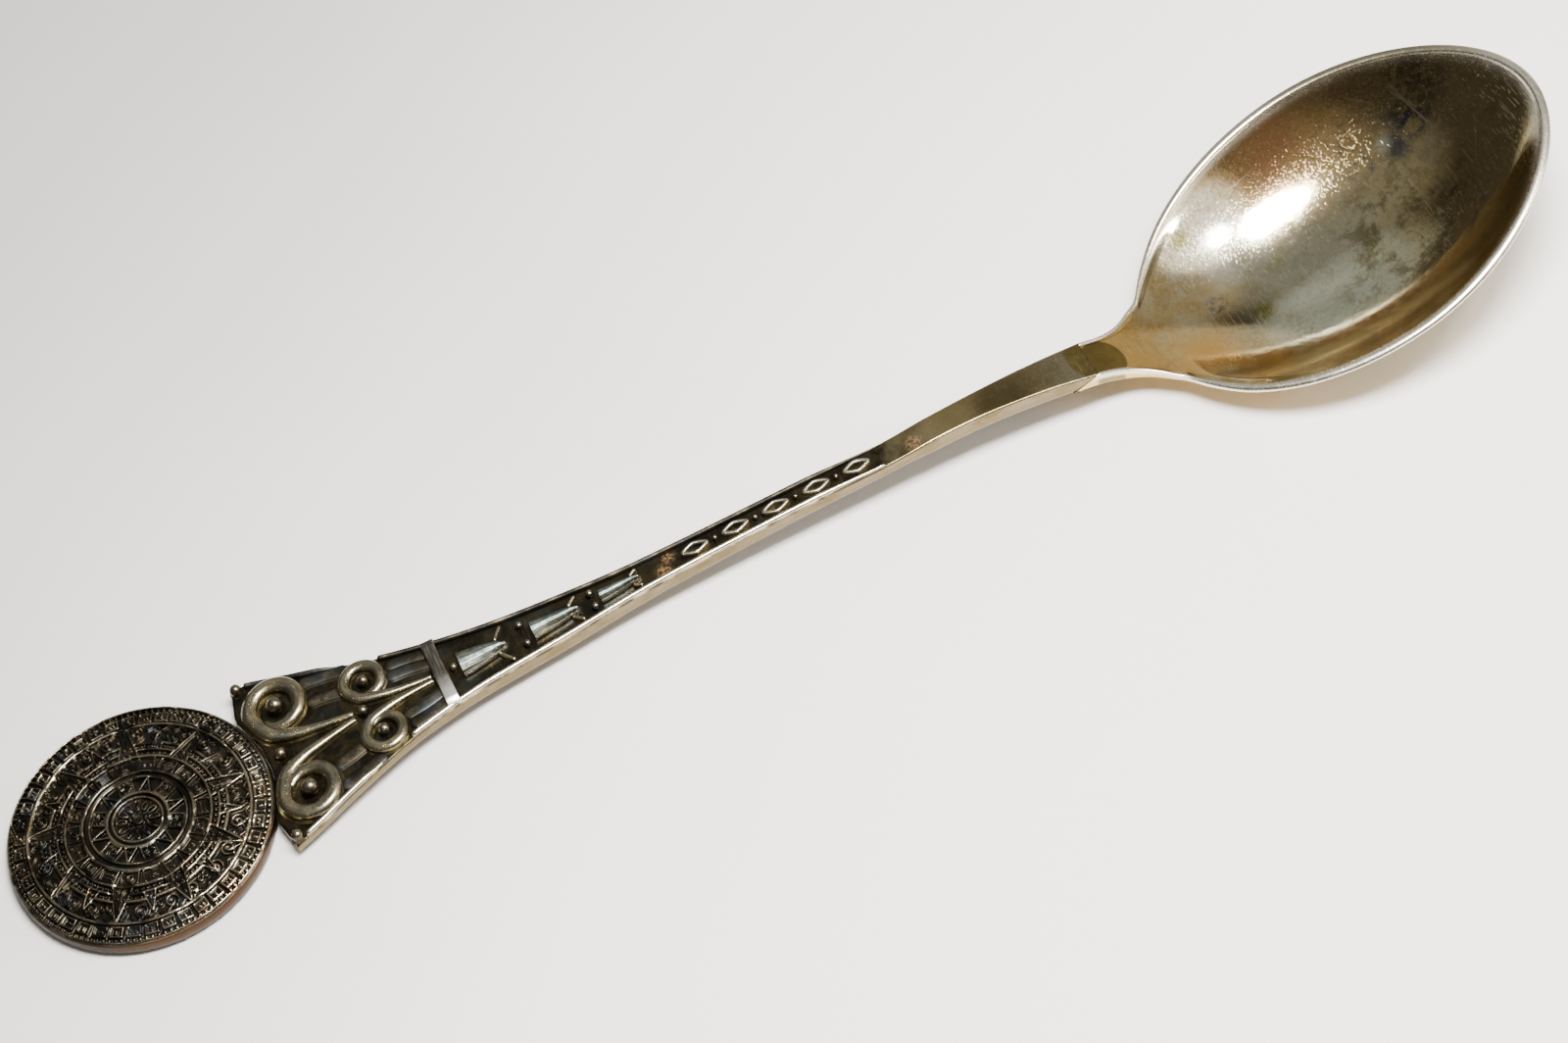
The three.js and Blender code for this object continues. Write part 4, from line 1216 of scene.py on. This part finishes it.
def buildMedallion():
    radius, edge, around = disc["radius"], disc["edge"], disc["around"]
    turn = np.linspace(0, 2 * math.pi, around, endpoint=False)
    steps = np.concatenate([np.linspace(0.03, radius - 0.22, disc["out"]), [radius - 0.14, radius - 0.06]])
    r, a = np.meshgrid(steps, turn, indexing="ij")
    x, y = r * np.cos(a), r * np.sin(a)
    relief = reliefHeight(r, a)
    uneven = lumps(x, y, 7)
    wear = 1 - 0.30 * ease((lumps(x * 0.35, y * 0.35, 11) + 0.1) / 0.5)
    ground = edge - disc["sunk"] + disc["crown"] * (1 - (r / radius) ** 2)
    z = ground + disc["relief"] * relief * wear + 0.018 * uneven
    z[-1] = edge - 0.12
    z[-2] = edge - 0.02
    high = np.clip(relief * wear + 0.10 * uneven, 0, 1)
    # painted highlight: the side that points along the handle and towards the viewer is painted brighter
    rubbedAndLit = ease((r - 4.5) / 4.5) * ease((np.cos(a + 0.75) - 0.35) / 0.6)
    high = np.clip(high * (1 + 0.55 * rubbedAndLit) + 0.10 * rubbedAndLit, 0, 1.5)
    # painted highlight: a bright stretch of one ring on the far side
    high += 0.8 * pulse(r, 8.28, 0.12, 0.08) * ease((np.cos(a - 2.45) - 0.80) / 0.15)
    # painted highlight: the side wall is painted bright where it faces along the handle and towards the viewer
    sideHighlight = ease((np.cos(turn + 0.75) + 0.1) / 1.1)
    high[-2:] = 0.7 + 0.9 * sideHighlight
    points, values = [*np.stack([x, y, z], -1)], [*high]
    # side and flat back: radius, height, how bright; the upper side rings also take the side's painted
    # highlight
    for ring, height, value in (
            (radius, edge - 0.25, 0.85), (radius, 0.9, 0.6), (radius, 0.62, 0.6), (radius - 0.12, 0.3, 0.5),
            (radius - 0.3, 0.1, 0.4), (radius - 0.55, 0.0, 0.35), (radius - 2, 0.0, 0.35),
            (radius - 5, 0.0, 0.3), (1.2, 0.0, 0.35)):
        wobble = 0.015 * lumps(10 * np.cos(turn), 10 * np.sin(turn), 5) if 0 < height < 1 else 0
        reach = ring - 0.03 + wobble
        points.append(np.stack([reach * np.cos(turn), reach * np.sin(turn), np.full(around, height)], -1))
        values.append(value + 0.9 * sideHighlight * (height > 0.5))
    faces = gridFaces(len(points), around, True)
    side = np.repeat([0.0, 1.0], [(len(steps) - 1) * around, (len(points) - len(steps) + 1) * around])
    # a middle point closes the face, and another the back
    count = len(points) * around
    points = np.concatenate(points + [[[0, 0, z[0].mean()], [0, 0, 0]]])
    faces += [((k + 1) % around, k, count) for k in range(around)]
    faces += [(count - around + k, count - around + (k + 1) % around, count + 1) for k in range(around)]
    addPiece("medallion_disc", points * mm + np.array([discMiddle.x, discMiddle.y, 0]), faces, "medallion",
             "medallion", "medallion", sharp=80, high=np.concatenate(values + [[1.0, 0.3]]),
             face=np.append(side, [0.0, 1.0]))


buildMedallion()
print("medallion struck")

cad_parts["lap_solder"].data.materials.clear()
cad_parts["lap_solder"].data.materials.append(looks["solder"])

print("done")
